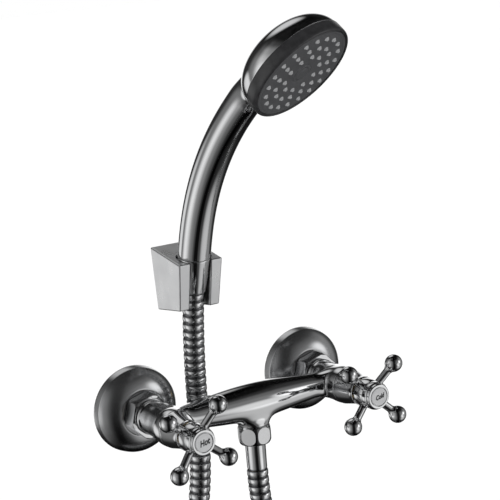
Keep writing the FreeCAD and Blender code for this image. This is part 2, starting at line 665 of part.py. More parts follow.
def make_cap(sign):
    """Round bezel pressed into the hub; its face has a recess for the index disc."""
    plug = CAP_BORE_RADIUS - THREAD_FIT
    seat = CAP_FRONT - (INDEX_THICKNESS - INDEX_PROUD)
    crown = CAP_SHOULDER + CAP_CROWN_SHARE * (CAP_FRONT - CAP_SHOULDER)
    cap = turned([(plug, HUB_FRONT - 2.2), (plug, HUB_FRONT), (HUB_FRONT_RADIUS, HUB_FRONT),
                  (CAP_RADIUS, HUB_FRONT + 1.0), (CAP_RADIUS, CAP_SHOULDER),
                  (CAP_RADIUS - 0.5, crown, "arc"), (CAP_FACE_RADIUS, CAP_FRONT),
                  (INDEX_RADIUS + THREAD_FIT, CAP_FRONT), (INDEX_RADIUS + THREAD_FIT, seat), (0, seat),
                  (0, seat - 1.5), (plug - 1.2, seat - 1.5), (plug - 1.2, HUB_FRONT - 2.2)])
    return facing_out(cap, side_x(sign))


def letter_strokes(name):
    """Bars of a plain capital H or C, as boxes in the index disc's own frame."""
    half = LETTER_HEIGHT / 2
    stroke = LETTER_STROKE
    width = LETTER_HEIGHT * 0.72
    left = Part.makeBox(stroke, LETTER_HEIGHT, LETTER_RELIEF * 2, Vector(-width / 2, -half, 0))
    if name == "hot":
        right = Part.makeBox(stroke, LETTER_HEIGHT, LETTER_RELIEF * 2, Vector(width / 2 - stroke, -half, 0))
        bar = Part.makeBox(width, stroke, LETTER_RELIEF * 2, Vector(-width / 2, -stroke / 2, 0))
        return [left, right, bar]
    lower = Part.makeBox(width, stroke, LETTER_RELIEF * 2, Vector(-width / 2, -half, 0))
    upper = Part.makeBox(width, stroke, LETTER_RELIEF * 2, Vector(-width / 2, half - stroke, 0))
    return [left, lower, upper]


def make_index(name, sign):
    """Index disc with a plain letter cut into its face."""
    front = CAP_FRONT + INDEX_PROUD
    disc = rod(INDEX_RADIUS, front - INDEX_THICKNESS, front)
    for stroke in letter_strokes(name):
        stroke.translate(Vector(0, 0, front - LETTER_RELIEF))
        disc = disc.cut(stroke)
    return facing_out(disc, side_x(sign))


def make_hose_nut():
    """Hexagonal nut with barrel-turned corners that joins the hose to the outlet thread."""
    top = OUTLET_BOSS_BOTTOM - HOSE_NUT_GAP
    bottom = top - HOSE_NUT_LENGTH
    nut = chamfered_hexagon(HOSE_NUT_FLATS, bottom, top, HOSE_NUT_CROWN, HOSE_NUT_BELLY)
    nut = nut.cut(rod(G12_RADIUS + THREAD_FIT, STEM_FLANGE_BOTTOM, top))
    nut = nut.cut(rod(FERRULE_RADIUS + FACE_GAP, bottom, STEM_FLANGE_BOTTOM))
    nut.rotate(Vector(0, 0, 0), Vector(0, 0, 1), HOSE_NUT_TURN)
    nut.translate(OUTLET_AXIS)
    return nut


def make_hose_washer():
    ring = tube(G12_RADIUS - 0.2, 6.0, HOSE_WASHER_BOTTOM, OUTLET_THREAD_BOTTOM)
    ring.translate(OUTLET_AXIS)
    return ring


def hose_stem(flange_top, insertion_end):
    """Flanged stem whose barbed tube runs inside the hose, drawn about Z going down."""
    flange = rod(G12_RADIUS - 0.3, flange_top - STEM_FLANGE_THICKNESS, flange_top)
    barb = rod(STEM_RADIUS, insertion_end, flange_top - 0.5)
    return flange.fuse(barb).removeSplitter().cut(rod(STEM_BORE_RADIUS, insertion_end, flange_top))


def hose_ferrule(top, length):
    """Smooth ferrule with a chamfered lower edge, drawn about Z going down."""
    low = top - length
    inner = STEM_RADIUS + THREAD_FIT
    return turned([(inner, low), (FERRULE_RADIUS - 0.7, low), (FERRULE_RADIUS - 0.2, low + 1.6),
                   (FERRULE_RADIUS, top - 1.0), (FERRULE_RADIUS - 0.2, top), (inner, top)])


def make_outlet_stem():
    stem = hose_stem(HOSE_WASHER_BOTTOM, FERRULE_BOTTOM - STEM_INSERTION)
    stem.translate(OUTLET_AXIS)
    return stem


def make_outlet_ferrule():
    ferrule = hose_ferrule(STEM_FLANGE_BOTTOM, FERRULE_LENGTH)
    ferrule.translate(OUTLET_AXIS)
    return ferrule


# Routes of the hose. The free stretches are points chosen by hand, and the coil is a formula.
RISER_Y = -20.2
COIL_RIGHT_X = COIL_CENTRE_X + COIL_RADIUS
COIL_LEFT_X = COIL_CENTRE_X - COIL_RADIUS
COIL_CENTRE_Z = COIL_START_Z - 2 * HOSE_RADIUS
RISER_END = CONE_TOP - CONE_AXIS * RISER_END_DEPTH
OUTLET_ROUTE = (
    Vector(0, -BAR_STATION, FERRULE_BOTTOM),
    Vector(0, -BAR_STATION, -83.5),
    Vector(9.1, -BAR_STATION, -111.4),
    Vector(26.4, -BAR_STATION, -135.2),
    Vector(50.1, -BAR_STATION, -152.5),
    Vector(67.4, -BAR_STATION, -176.3),
    Vector(COIL_RIGHT_X, -BAR_STATION, -204.2),
    Vector(COIL_RIGHT_X, -BAR_STATION, COIL_START_Z),
)
RISER_ROUTE = (
    Vector(COIL_LEFT_X, RISER_Y, COIL_START_Z),
    Vector(COIL_LEFT_X, RISER_Y, -206.0),
    Vector(-98.9, RISER_Y, -179.6),
    Vector(-84.3, RISER_Y, -156.3),
    Vector(-63.9, RISER_Y, -137.9),
    Vector(-48.5, RISER_Y, -115.1),
    Vector(-37.6, RISER_Y, -85.1),
    Vector(-31.6, RISER_Y, -41.0),
    RISER_END - CONE_AXIS * 38.0,
    RISER_END,
)


def round_corners(points):
    """Straight runs joined by the largest tangent arcs, as edges, with the least arc radius."""
    edges = []
    least = None
    start = points[0]
    for before, corner, after in zip(points, points[1:], points[2:]):
        back = before - corner
        ahead = after - corner
        trim = 0.45 * min(back.Length, ahead.Length)
        back.normalize()
        ahead.normalize()
        turn = math.pi - back.getAngle(ahead)
        radius = trim / math.tan(turn / 2)
        least = radius if least is None else min(least, radius)
        enter = corner + back * trim
        leave = corner + ahead * trim
        inward = back + ahead
        inward.normalize()
        reach = radius / math.cos(turn / 2) - radius
        edges.append(Part.LineSegment(start, enter).toShape())
        edges.append(Part.Arc(enter, corner + inward * reach, leave).toShape())
        start = leave
    edges.append(Part.LineSegment(start, points[-1]).toShape())
    return edges, least


def biarc(start, start_way, end, end_way):
    """Two tangent arcs from one point and direction to another."""
    across = end - start
    square = 2 * (start_way.dot(end_way) - 1)
    linear = -2 * across.dot(start_way + end_way)
    constant = across.dot(across)
    if abs(square) < 1e-9:
        reach = -constant / linear
    else:
        root = math.sqrt(linear ** 2 - 4 * square * constant)
        reach = max((-linear - root) / (2 * square), (-linear + root) / (2 * square))
    join = (start + start_way * reach + end - end_way * reach) * 0.5
    edges = []
    for first, corner, last in ((start, start + start_way * reach, join), (join, end - end_way * reach, end)):
        middle = (first + last) * 0.5
        lift = corner - middle
        half = (last - first).Length / 2
        angle = math.atan2(lift.Length, half)
        lift.normalize()
        edges.append(Part.Arc(first, middle + lift * (half * math.tan(angle / 2)), last).toShape())
    return edges


def coil_point(angle):
    """Point on the coil and its direction, at an angle clockwise from the right-hand side."""
    turn = math.radians(angle)
    step = (BAR_STATION + RISER_Y) / COIL_TURNS
    point = Vector(COIL_CENTRE_X + COIL_RADIUS * math.cos(turn), -BAR_STATION + step * angle / 360,
                   COIL_CENTRE_Z - COIL_RADIUS * math.sin(turn))
    level = 0.0 if angle in (0, 360 * COIL_TURNS) else step / 360
    way = Vector(-COIL_RADIUS * math.sin(turn), level * 180 / math.pi, -COIL_RADIUS * math.cos(turn))
    way.normalize()
    return point, way


def coil_edges():
    """The coil's route: a straight lead, biarcs of a quarter turn and a straight tail."""
    quarters = int(round(COIL_TURNS * 4))
    first, _ = coil_point(0)
    last, _ = coil_point(90 * quarters)
    entry = Vector(first.x, first.y, COIL_START_Z)
    leave = Vector(last.x, last.y, COIL_START_Z)
    edges = [Part.LineSegment(entry, first).toShape()]
    for quarter in range(quarters):
        start, start_way = coil_point(90 * quarter)
        end, end_way = coil_point(90 * (quarter + 1))
        edges += biarc(start, start_way, end, end_way)
    edges.append(Part.LineSegment(last, leave).toShape())
    return edges


def swept(edges, radius):
    """Round tube of one radius along a route."""
    wire = Part.Wire(edges)
    start = edges[0].Vertexes[0].Point
    way = edges[0].tangentAt(edges[0].FirstParameter)
    profile = Part.Wire([Part.Circle(start, way, radius).toShape()])
    return wire.makePipeShell([profile], True, False)


def ribbed(edges):
    """Ribbed hose along a route: one ruled loft through four circles to each rib, with its bore."""
    length = sum(edge.Length for edge in edges)
    count = int(round(length / RIB_PITCH))
    pitch = length / count
    stations = [(0.0, HOSE_VALLEY_RADIUS)]
    for rib in range(count):
        stations.append((pitch * (rib + 0.16), HOSE_RADIUS))
        stations.append((pitch * (rib + 0.72), HOSE_RADIUS))
        stations.append((pitch * (rib + 0.90), HOSE_VALLEY_RADIUS))
        stations.append((pitch * (rib + 1.0), HOSE_VALLEY_RADIUS))
    sections = []
    index = 0
    passed = 0.0
    for distance, radius in stations:
        while distance - passed > edges[index].Length and index < len(edges) - 1:
            passed += edges[index].Length
            index += 1
        edge = edges[index]
        share = min((distance - passed) / edge.Length, 1.0)
        parameter = edge.FirstParameter + share * (edge.LastParameter - edge.FirstParameter)
        way = edge.tangentAt(parameter)
        side = Vector(0, 1, 0).cross(way)
        side.normalize()
        circle = Part.Circle(Vector(0, 0, 0), Vector(0, 0, 1), radius).toShape()
        turn = FreeCAD.Rotation(side, way.cross(side), way, "XZY")
        circle.Placement = FreeCAD.Placement(edge.valueAt(parameter), turn)
        sections.append(Part.Wire([circle]))
    hose = Part.makeLoft(sections, True, True)
    return hose.cut(swept(edges, HOSE_BORE_RADIUS)), count, length


def coil_crossings(angle):
    """Points where the turns pass an angle clockwise from the right-hand side, with their direction."""
    turn = math.radians(angle)
    outward = Vector(math.cos(turn), 0, -math.sin(turn)) * (2 * COIL_RADIUS)
    front = Vector(COIL_CENTRE_X, -BAR_STATION - HOSE_RADIUS, COIL_CENTRE_Z)
    back = Vector(COIL_CENTRE_X, RISER_Y + HOSE_RADIUS, COIL_CENTRE_Z)
    blade = Part.Face(Part.makePolygon([front, back, back + outward, front + outward, front]))
    points = []
    for edge in coil_edges()[1:-1]:
        distance, pairs, _ = edge.distToShape(blade)
        if distance < 1e-6:
            points.append(pairs[0][0])
    return points, Vector(-math.sin(turn), 0, -math.cos(turn))


def make_ties():
    """Two straps that hold the coil's neighbouring turns together, one at each side."""
    straps = []
    inner = HOSE_RADIUS + TIE_CLEARANCE
    outer = inner + TIE_THICKNESS
    for angle in (TIE_ANGLE, 180 - TIE_ANGLE):
        (near, far), way = coil_crossings(angle)
        across = far.y - near.y
        ring = []
        for radius in (outer, inner):
            ends = [Part.makeCylinder(radius, TIE_WIDTH, Vector(0, shift, 0)) for shift in (0, across)]
            middle = Part.makeBox(2 * radius, across, TIE_WIDTH, Vector(-radius, 0, 0))
            ring.append(fused([middle] + ends))
        strap = ring[0].cut(ring[1])
        strap.translate(Vector(0, 0, -TIE_WIDTH / 2))
        turn = FreeCAD.Rotation(Vector(0, 1, 0).cross(way), Vector(0, 1, 0), way, "ZYX")
        strap.Placement = FreeCAD.Placement(near, turn).multiply(strap.Placement)
        straps.append(strap)
    return Part.makeCompound(straps)


def along_cone(shape):
    """Place a piece drawn about Z, with its top at height 0, on the bracket's cone axis."""
    shape = shape.copy()
    shape.Placement = frame_to(CONE_TOP, CONE_AXIS).multiply(shape.Placement)
    return shape


def on_handset(shape):
    """Place a piece drawn in the handset's frame: +Z up its axis, front towards -Y."""
    shape = shape.copy()
    turn = FreeCAD.Placement(Vector(0, 0, 0), FreeCAD.Rotation(Vector(0, 0, 1), HANDSET_TURN))
    tilt = FreeCAD.Placement(CONE_TOP, FreeCAD.Rotation(Vector(1, 0, 0), CONE_TILT))
    shape.Placement = tilt.multiply(turn).multiply(shape.Placement)
    return shape


def make_riser_stem():
    return along_cone(hose_stem(-CONE_STEM_DEPTH, -RISER_END_DEPTH - STEM_INSERTION))


def make_riser_ferrule():
    return along_cone(hose_ferrule(-CONE_FLANGE_DEPTH, RISER_FERRULE_LENGTH))


def make_cone_washer():
    return along_cone(tube(G12_RADIUS - 0.2, 6.0, -CONE_WASHER_DEPTH, -CONE_THREAD_DEPTH))


def cone_radius(depth):
    return CONE_TOP_RADIUS - (CONE_TOP_RADIUS - CONE_BOTTOM_RADIUS) * depth / CONE_LENGTH


def make_cone_nut():
    """Conical nut that hangs in the bracket and screws on the handset's thread."""
    inner = G12_RADIUS + THREAD_FIT
    shoulder = -CONE_FLANGE_DEPTH
    nut = turned([(CONE_BORE_RADIUS, -CONE_LENGTH), (CONE_BOTTOM_RADIUS, -CONE_LENGTH),
                  (CONE_TOP_RADIUS, -0.5), (CONE_TOP_RADIUS - 0.4, 0), (inner, 0),
                  (inner, shoulder - RUNNING_FIT), (CONE_BORE_RADIUS, shoulder - RUNNING_FIT)])
    return along_cone(nut)


def bracket_block(top_width, bottom_width, back):
    """Wedge block between its side profile and its tapering sides."""
    bottom = BRACKET_BOTTOM
    top = bottom + BRACKET_BACK_HEIGHT
    drop = BRACKET_TOP_DROP / BRACKET_TOP_DEPTH
    rise = BRACKET_BOTTOM_RISE / BRACKET_BOTTOM_DEPTH
    profile = [Vector(0, -back, bottom + rise * back), Vector(0, -back, top - drop * back),
               Vector(0, -BRACKET_TOP_DEPTH, top - BRACKET_TOP_DROP),
               Vector(0, -BRACKET_BOTTOM_DEPTH, bottom + BRACKET_BOTTOM_RISE)]
    side = Part.Face(Part.makePolygon(profile + [profile[0]]))
    slab = side.extrude(Vector(top_width, 0, 0))
    slab.translate(Vector(-top_width / 2, 0, 0))
    taper = [Vector(-bottom_width / 2, 0, bottom), Vector(bottom_width / 2, 0, bottom),
             Vector(top_width / 2, 0, top), Vector(-top_width / 2, 0, top)]
    front = Part.Face(Part.makePolygon(taper + [taper[0]]))
    wedge = front.extrude(Vector(0, -BRACKET_TOP_DEPTH - 5, 0))
    block = slab.common(wedge)
    block.translate(Vector(BRACKET_X, 0, 0))
    return block


def make_bracket_body():
    """Bracket block with its conical socket, its front slot and the pocket over the wall plate."""
    block = bracket_block(BRACKET_TOP_WIDTH, BRACKET_BOTTOM_WIDTH, 0)
    upright = [edge for edge in block.Edges if edge.Length > 20 and abs(edge.Vertexes[0].Point.y) > 1]
    block = block.makeFillet(2.0, upright)
    slope = (CONE_TOP_RADIUS - CONE_BOTTOM_RADIUS) / CONE_LENGTH
    reach = 1.25 * BRACKET_BACK_HEIGHT
    above = BRACKET_BACK_HEIGHT / 2
    low_radius = CONE_TOP_RADIUS + FACE_GAP - slope * reach
    high_radius = CONE_TOP_RADIUS + FACE_GAP + slope * above
    cone = Part.makeCone(low_radius, high_radius, reach + above, Vector(0, 0, -reach))
    hose_way = rod(SLOT_WIDTH / 2, -reach, 0)
    slot_corner = Vector(-SLOT_WIDTH / 2, -BRACKET_TOP_DEPTH, -reach)
    slot = Part.makeBox(SLOT_WIDTH, BRACKET_TOP_DEPTH, reach + above, slot_corner)
    tilt = FreeCAD.Placement(CONE_TOP, FreeCAD.Rotation(Vector(1, 0, 0), CONE_TILT))
    for tool in (cone, hose_way, slot):
        tool.Placement = tilt.multiply(tool.Placement)
        block = block.cut(tool)
    return block.cut(bracket_plate(THREAD_FIT))


def bracket_plate(grow):
    """Wall plate outline, grown by a clearance for the pocket that it sits in."""
    low = BRACKET_BOTTOM + BRACKET_PLATE_MARGIN - grow
    high = BRACKET_BOTTOM + BRACKET_BACK_HEIGHT - BRACKET_PLATE_MARGIN + grow
    width = BRACKET_BOTTOM_WIDTH - 2 * BRACKET_PLATE_MARGIN + 2 * grow
    plate = Part.makeBox(width, BRACKET_PLATE_THICKNESS + grow, high - low,
                         Vector(BRACKET_X - width / 2, -BRACKET_PLATE_THICKNESS - grow, low))
    return plate


def bracket_screw_places():
    middle = BRACKET_BOTTOM + BRACKET_BACK_HEIGHT / 2
    return [Vector(BRACKET_X, 0, middle + side * BRACKET_SCREW_SPACING / 2) for side in (-1, 1)]


def make_bracket_plate():
    """Wall plate with two countersunk holes, relieved at its back round the wall plugs."""
    plate = bracket_plate(0)
    depth = BRACKET_SCREW_HEAD_RADIUS - BRACKET_SCREW_RADIUS
    hole_radius = BRACKET_SCREW_RADIUS + THREAD_FIT
    for place in bracket_screw_places():
        hole = Part.makeCylinder(hole_radius, BRACKET_PLATE_THICKNESS, place, Vector(0, -1, 0))
        neck = place + Vector(0, depth - BRACKET_PLATE_THICKNESS, 0)
        sink = Part.makeCone(BRACKET_SCREW_RADIUS, BRACKET_SCREW_HEAD_RADIUS, depth, neck, Vector(0, -1, 0))
        relief = Part.makeCylinder(PLUG_RADIUS + FACE_GAP, PLUG_RELIEF_DEPTH, place, Vector(0, -1, 0))
        plate = plate.cut(hole).cut(sink).cut(relief)
    return plate


def make_bracket_screws():
    """Two countersunk screws through the wall plate."""
    screws = []
    depth = BRACKET_SCREW_HEAD_RADIUS - BRACKET_SCREW_RADIUS
    for place in bracket_screw_places():
        front = place + Vector(0, -BRACKET_PLATE_THICKNESS, 0)
        head = Part.makeCone(BRACKET_SCREW_HEAD_RADIUS, BRACKET_SCREW_RADIUS, depth, front, Vector(0, 1, 0))
        shank = Part.makeCylinder(BRACKET_SCREW_RADIUS, BRACKET_SCREW_LENGTH, front, Vector(0, 1, 0))
        screws.append(head.fuse(shank).removeSplitter())
    return Part.makeCompound(screws)


def make_bracket_plugs():
    """Two wall plugs round the screws, inside the wall."""
    plugs = []
    for place in bracket_screw_places():
        start = place + Vector(0, PLUG_START, 0)
        outer = Part.makeCylinder(PLUG_RADIUS, PLUG_LENGTH, start, Vector(0, 1, 0))
        inner = Part.makeCylinder(BRACKET_SCREW_RADIUS + THREAD_FIT, PLUG_LENGTH, start, Vector(0, 1, 0))
        plugs.append(outer.cut(inner))
    return Part.makeCompound(plugs)


def handset_path(extra):
    """Centre line of the handle: an arc that bends forward, then a straight run to the head."""
    bend = math.radians(HANDLE_BEND)
    radius = HANDLE_LENGTH / bend
    middle = Vector(0, -radius * (1 - math.cos(bend / 2)), radius * math.sin(bend / 2))
    end = Vector(0, -radius * (1 - math.cos(bend)), radius * math.sin(bend))
    way = Vector(0, -math.sin(bend), math.cos(bend))
    arc = Part.Arc(Vector(0, 0, 0), middle, end).toShape()
    run = Part.LineSegment(end, end + way * extra).toShape()
    return [arc, run], end + way * HEAD_OFFSET


def at_head(shape):
    """Place a piece drawn about Z, with +Z towards the spray, at the head's centre."""
    shape = shape.copy()
    _, centre = handset_path(HEAD_OFFSET)
    tilt = math.radians(HANDLE_BEND + HEAD_TILT)
    normal = Vector(0, -math.cos(tilt), -math.sin(tilt))
    shape.Placement = frame_to(centre + normal * HEAD_RISE, normal).multiply(shape.Placement)
    return shape


def make_handset_body():
    """Handle and back shell in one hollow moulding, with the inlet thread below."""
    path, _ = handset_path(HEAD_OFFSET)
    handle = swept(path, HANDLE_RADIUS)
    bore = swept(path, HANDLE_RADIUS - HANDLE_WALL)
    apex = -DOME_APEX
    dome = turned(arch(HEAD_RADIUS, RING_BACK, apex, DOME_SHOULDER) + [(0, RING_BACK)])
    hollow = turned(arch(HEAD_RADIUS - DOME_WALL, RING_BACK, apex + DOME_WALL, DOME_SHOULDER - DOME_WALL)
                    + [(0, RING_BACK)])
    thread = rod(G12_RADIUS, -CONE_THREAD_DEPTH, 1.0)
    floor = rod(HANDLE_RADIUS - 0.5, 0.0, 4.0)
    clear = at_head(rod(HEAD_RADIUS + THREAD_FIT, RING_BACK, 3 * RING_FRONT))
    outside = handle.multiFuse([at_head(dome)]).cut(clear)
    inside = bore.multiFuse([at_head(hollow)])
    shell = outside.cut(inside)
    boss = at_head(tube(SPRAY_BOSS_RADIUS, SPRAY_SCREW_RADIUS, apex + DOME_WALL / 2, FLOW_PLATE_BACK))
    body = shell.multiFuse([thread, floor, boss]).removeSplitter()
    return on_handset(body.cut(rod(UNION_BORE_RADIUS, -CONE_THREAD_DEPTH, 4.0)))


def make_spray_ring():
    """Dark ring round the spray plate, with a lip that holds the plate."""
    inner = RING_INNER_RADIUS
    lip = inner - RING_LIP_WIDTH
    ring = turned([(inner, RING_BACK), (HEAD_RADIUS, RING_BACK), (HEAD_RADIUS, RING_FRONT - 1.5),
                   (HEAD_RADIUS - 0.4, RING_FRONT - 0.4, "arc"), (HEAD_RADIUS - 1.5, RING_FRONT),
                   (inner, PLATE_FRONT), (inner, PLATE_BACK), (lip, PLATE_BACK), (lip, LIP_BACK),
                   (inner, LIP_BACK)])
    return on_handset(at_head(ring))


def nozzle_places():
    places = []
    for radius, count in NOZZLE_RINGS:
        for step in range(count):
            angle = 2 * math.pi * (step + 0.5) / count
            places.append(Vector(radius * math.cos(angle), radius * math.sin(angle), 0))
    return places


def make_spray_plate():
    """Spray plate with a hole for each nozzle and one for the middle screw."""
    plate = rod(RING_INNER_RADIUS - THREAD_FIT, PLATE_BACK, PLATE_FRONT)
    holes = []
    for place in nozzle_places():
        hole = rod(NOZZLE_RADIUS + THREAD_FIT, PLATE_BACK, PLATE_FRONT)
        hole.translate(place)
        holes.append(hole)
    plate = plate.cut(Part.makeCompound(holes))
    plate = plate.cut(rod(SPRAY_SCREW_RADIUS + THREAD_FIT, PLATE_BACK, PLATE_FRONT))
    return on_handset(at_head(plate.cut(rod(EMBLEM_RADIUS, EMBLEM_SEAT, PLATE_FRONT))))


def make_nozzles():
    """Soft mat behind the spray plate with its nozzles standing through the holes."""
    front = PLATE_FRONT
    back = PLATE_BACK
    rim = RING_INNER_RADIUS - RING_LIP_WIDTH - FACE_GAP
    mat = tube(rim, SPRAY_BOSS_RADIUS + 1, back - MAT_THICKNESS, back)
    tips = []
    for place in nozzle_places():
        tip = turned([(0.4, back - 0.5), (NOZZLE_RADIUS, back - 0.5), (NOZZLE_RADIUS, front),
                      (NOZZLE_TIP_RADIUS, front + NOZZLE_PROUD), (0.4, front + NOZZLE_PROUD)])
        tip.translate(place)
        tips.append(tip)
    return on_handset(at_head(mat.multiFuse(tips).removeSplitter()))


def make_flow_plate():
    """Inner plate that spreads the water over the mat."""
    plate = rod(RING_INNER_RADIUS - FACE_GAP, FLOW_PLATE_BACK, FLOW_PLATE_FRONT)
    plate = plate.cut(rod(SPRAY_SCREW_RADIUS + THREAD_FIT, FLOW_PLATE_BACK, FLOW_PLATE_FRONT))
    holes = []
    for step in range(FLOW_HOLES):
        angle = 2 * math.pi * step / FLOW_HOLES
        hole = rod(FLOW_HOLE_RADIUS, FLOW_PLATE_BACK, FLOW_PLATE_FRONT)
        hole.translate(Vector(FLOW_HOLE_DISTANCE * math.cos(angle), FLOW_HOLE_DISTANCE * math.sin(angle), 0))
        holes.append(hole)
    return on_handset(at_head(plate.cut(Part.makeCompound(holes))))


def make_spray_seal():
    """Seal between the flow plate's rim and the ring's lip."""
    outer = RING_INNER_RADIUS - THREAD_FIT
    inner = RING_INNER_RADIUS - RING_LIP_WIDTH + FACE_GAP
    ring = tube(outer, inner, FLOW_PLATE_FRONT, LIP_BACK)
    return on_handset(at_head(ring))


def make_spray_screw():
    """Screw through the middle of the spray plate into the back shell's boss."""
    head = rod(SPRAY_SCREW_HEAD_RADIUS, EMBLEM_SEAT, EMBLEM_SEAT + SPRAY_SCREW_HEAD_HEIGHT)
    shank = rod(SPRAY_SCREW_RADIUS - THREAD_FIT, -DOME_APEX / 2, EMBLEM_SEAT)
    return on_handset(at_head(head.fuse(shank).removeSplitter()))


def make_emblem_cap():
    """Plain round cap over the middle screw."""
    inner = SPRAY_SCREW_HEAD_RADIUS + THREAD_FIT
    outer = EMBLEM_RADIUS - THREAD_FIT
    roof = EMBLEM_SEAT + SPRAY_SCREW_HEAD_HEIGHT + THREAD_FIT
    crown = arch(outer, PLATE_FRONT, PLATE_FRONT + EMBLEM_PROUD, EMBLEM_EDGE)
    cap = turned([(inner, EMBLEM_SEAT), (outer, EMBLEM_SEAT)] + crown[::-1] + [(0, roof), (inner, roof)])
    return on_handset(at_head(cap))


def save(name, shape):
    shape.exportStep("parts/" + name + ".step")
    measures = (name, len(shape.Solids), shape.Volume, shape.isValid())
    print("%-18s solids %2d  volume %10.1f  valid %s" % measures)


def save_mixer():
    for name, sign, rest_turn in SIDES:
        save(name + "_union", make_union(sign))
        save(name + "_escutcheon", make_escutcheon(sign))
        save(name + "_union_nut", make_union_nut(sign))
        save(name + "_tailpiece", make_tailpiece(sign))
        save(name + "_headwork", make_headwork(sign))
        save(name + "_fixed_disc", make_fixed_disc(sign))
        save(name + "_moving_disc", make_moving_disc(sign))
        save(name + "_spindle", make_spindle(sign))
        save(name + "_spindle_clip", make_clip(sign))
        save(name + "_sleeve", make_sleeve(sign))
        save(name + "_cross_handle", make_cross_handle(sign, rest_turn))
        save(name + "_handle_screw", make_handle_screw(sign))
        save(name + "_cap", make_cap(sign))
        save(name + "_index", make_index(name, sign))
    save("inlet_washers", make_inlet_washers())
    save("seat_seals", make_seat_seals())
    save("headwork_gaskets", make_headwork_gaskets())
    save("spindle_seals", make_spindle_seals())
    save("body_casting", make_body_casting())


def report_route(name, length, least):
    print("%s: length %.1f, least arc radius %.1f, diameter %.1f" % (name, length, least, 2 * HOSE_RADIUS))


def least_gap(edges):
    """Least distance between turns of the coil, surface to surface, measured on points."""
    points = []
    steps = 24
    for edge in edges:
        span = edge.LastParameter - edge.FirstParameter
        points += [edge.valueAt(edge.FirstParameter + span * step / steps) for step in range(steps)]
    run = [0.0]
    for first, second in zip(points, points[1:]):
        run.append(run[-1] + (second - first).Length)
    least = run[-1]
    for i, point in enumerate(points):
        for j in range(i + 1, len(points)):
            if run[j] - run[i] > 6 * HOSE_RADIUS:
                least = min(least, (points[j] - point).Length)
    return least - 2 * HOSE_RADIUS


def save_hose():
    save("hose_nut", make_hose_nut())
    save("hose_washer", make_hose_washer())
    save("outlet_stem", make_outlet_stem())
    save("outlet_ferrule", make_outlet_ferrule())
    ribs = 0
    total = 0.0
    for name, route in (("hose_outlet", OUTLET_ROUTE), ("hose_riser", RISER_ROUTE)):
        edges, least = round_corners(route)
        hose, count, length = ribbed(edges)
        ribs += count
        total += length
        report_route(name, length, least)
        save(name, hose)
    edges = coil_edges()
    length = sum(edge.Length for edge in edges)
    total += length
    coil = swept(edges, HOSE_RADIUS).cut(swept(edges, HOSE_BORE_RADIUS))
    report_route("hose_coil", length, COIL_RADIUS)
    section = math.pi * (HOSE_RADIUS ** 2 - HOSE_BORE_RADIUS ** 2)
    print("coil: least gap %.2f, volume %.1f" % (least_gap(edges), coil.Volume))
    print("coil: section times length %.1f" % (section * length))
    save("hose_coil", coil)
    print("hose: ribs %d, free length %.1f" % (ribs, total))
    save("hose_ties", make_ties())
    save("riser_stem", make_riser_stem())
    save("riser_ferrule", make_riser_ferrule())
    save("cone_washer", make_cone_washer())
    save("cone_nut", make_cone_nut())


def save_handset():
    save("handset_body", make_handset_body())
    save("spray_ring", make_spray_ring())
    save("spray_plate", make_spray_plate())
    save("nozzles", make_nozzles())
    save("flow_plate", make_flow_plate())
    save("spray_seal", make_spray_seal())
    save("spray_screw", make_spray_screw())
    save("emblem_cap", make_emblem_cap())


def save_bracket():
    save("bracket_body", make_bracket_body())
    save("bracket_plate", make_bracket_plate())
    save("bracket_screws", make_bracket_screws())
    save("bracket_plugs", make_bracket_plugs())


os.makedirs("parts", exist_ok=True)
save_mixer()
save_hose()
save_handset()
save_bracket()
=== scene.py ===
import json
import math

import bmesh
import bpy
from mathutils import Matrix, Vector


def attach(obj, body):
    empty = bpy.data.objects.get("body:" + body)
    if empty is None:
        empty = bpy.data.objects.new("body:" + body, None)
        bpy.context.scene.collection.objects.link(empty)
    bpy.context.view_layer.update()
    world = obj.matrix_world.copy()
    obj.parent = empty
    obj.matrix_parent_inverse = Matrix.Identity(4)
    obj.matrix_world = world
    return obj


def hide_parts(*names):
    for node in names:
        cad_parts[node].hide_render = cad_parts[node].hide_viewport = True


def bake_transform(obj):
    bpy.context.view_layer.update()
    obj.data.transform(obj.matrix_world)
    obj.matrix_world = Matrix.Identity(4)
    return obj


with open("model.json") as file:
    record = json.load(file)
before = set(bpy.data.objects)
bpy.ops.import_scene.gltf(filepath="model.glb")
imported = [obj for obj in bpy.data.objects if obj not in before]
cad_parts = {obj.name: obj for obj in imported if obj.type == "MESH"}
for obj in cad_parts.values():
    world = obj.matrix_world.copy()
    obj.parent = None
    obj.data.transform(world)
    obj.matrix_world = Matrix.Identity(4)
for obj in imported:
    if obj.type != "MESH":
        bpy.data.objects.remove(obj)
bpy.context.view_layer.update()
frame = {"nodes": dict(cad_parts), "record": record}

VALVE_X = 75.0
BAR_STATION = 50.0
SIDES = (("hot", -1, 6.9), ("cold", 1, 1.0))
BRACKET_X = -30.0
CONE_TOP = Vector((BRACKET_X, -35.2, 115.942))
CONE = Matrix.Translation(CONE_TOP) @ Matrix.Rotation(math.radians(13), 4, "X")
HANDSET = CONE @ Matrix.Rotation(math.radians(17), 4, "Z")
HANDLE_LENGTH = 150.0
HANDLE_BEND = math.radians(40)
HEAD_OFFSET = 44.0
HEAD_TILT = math.radians(81)
HEAD_RISE = 6.5
OUTLET = Matrix.Translation((0, -BAR_STATION, 0))
HERE = Matrix.Identity(4)


def along_handle(height):
    """Frame on the handle's centre line, which bends forward and then runs straight on."""
    radius = HANDLE_LENGTH / HANDLE_BEND
    bend = min(height, HANDLE_LENGTH) / radius
    centre = Vector((0, -radius * (1 - math.cos(bend)), radius * math.sin(bend)))
    centre += Vector((0, -math.sin(bend), math.cos(bend))) * max(height - HANDLE_LENGTH, 0.0)
    return Matrix.Translation(centre) @ Matrix.Rotation(bend, 4, "X")


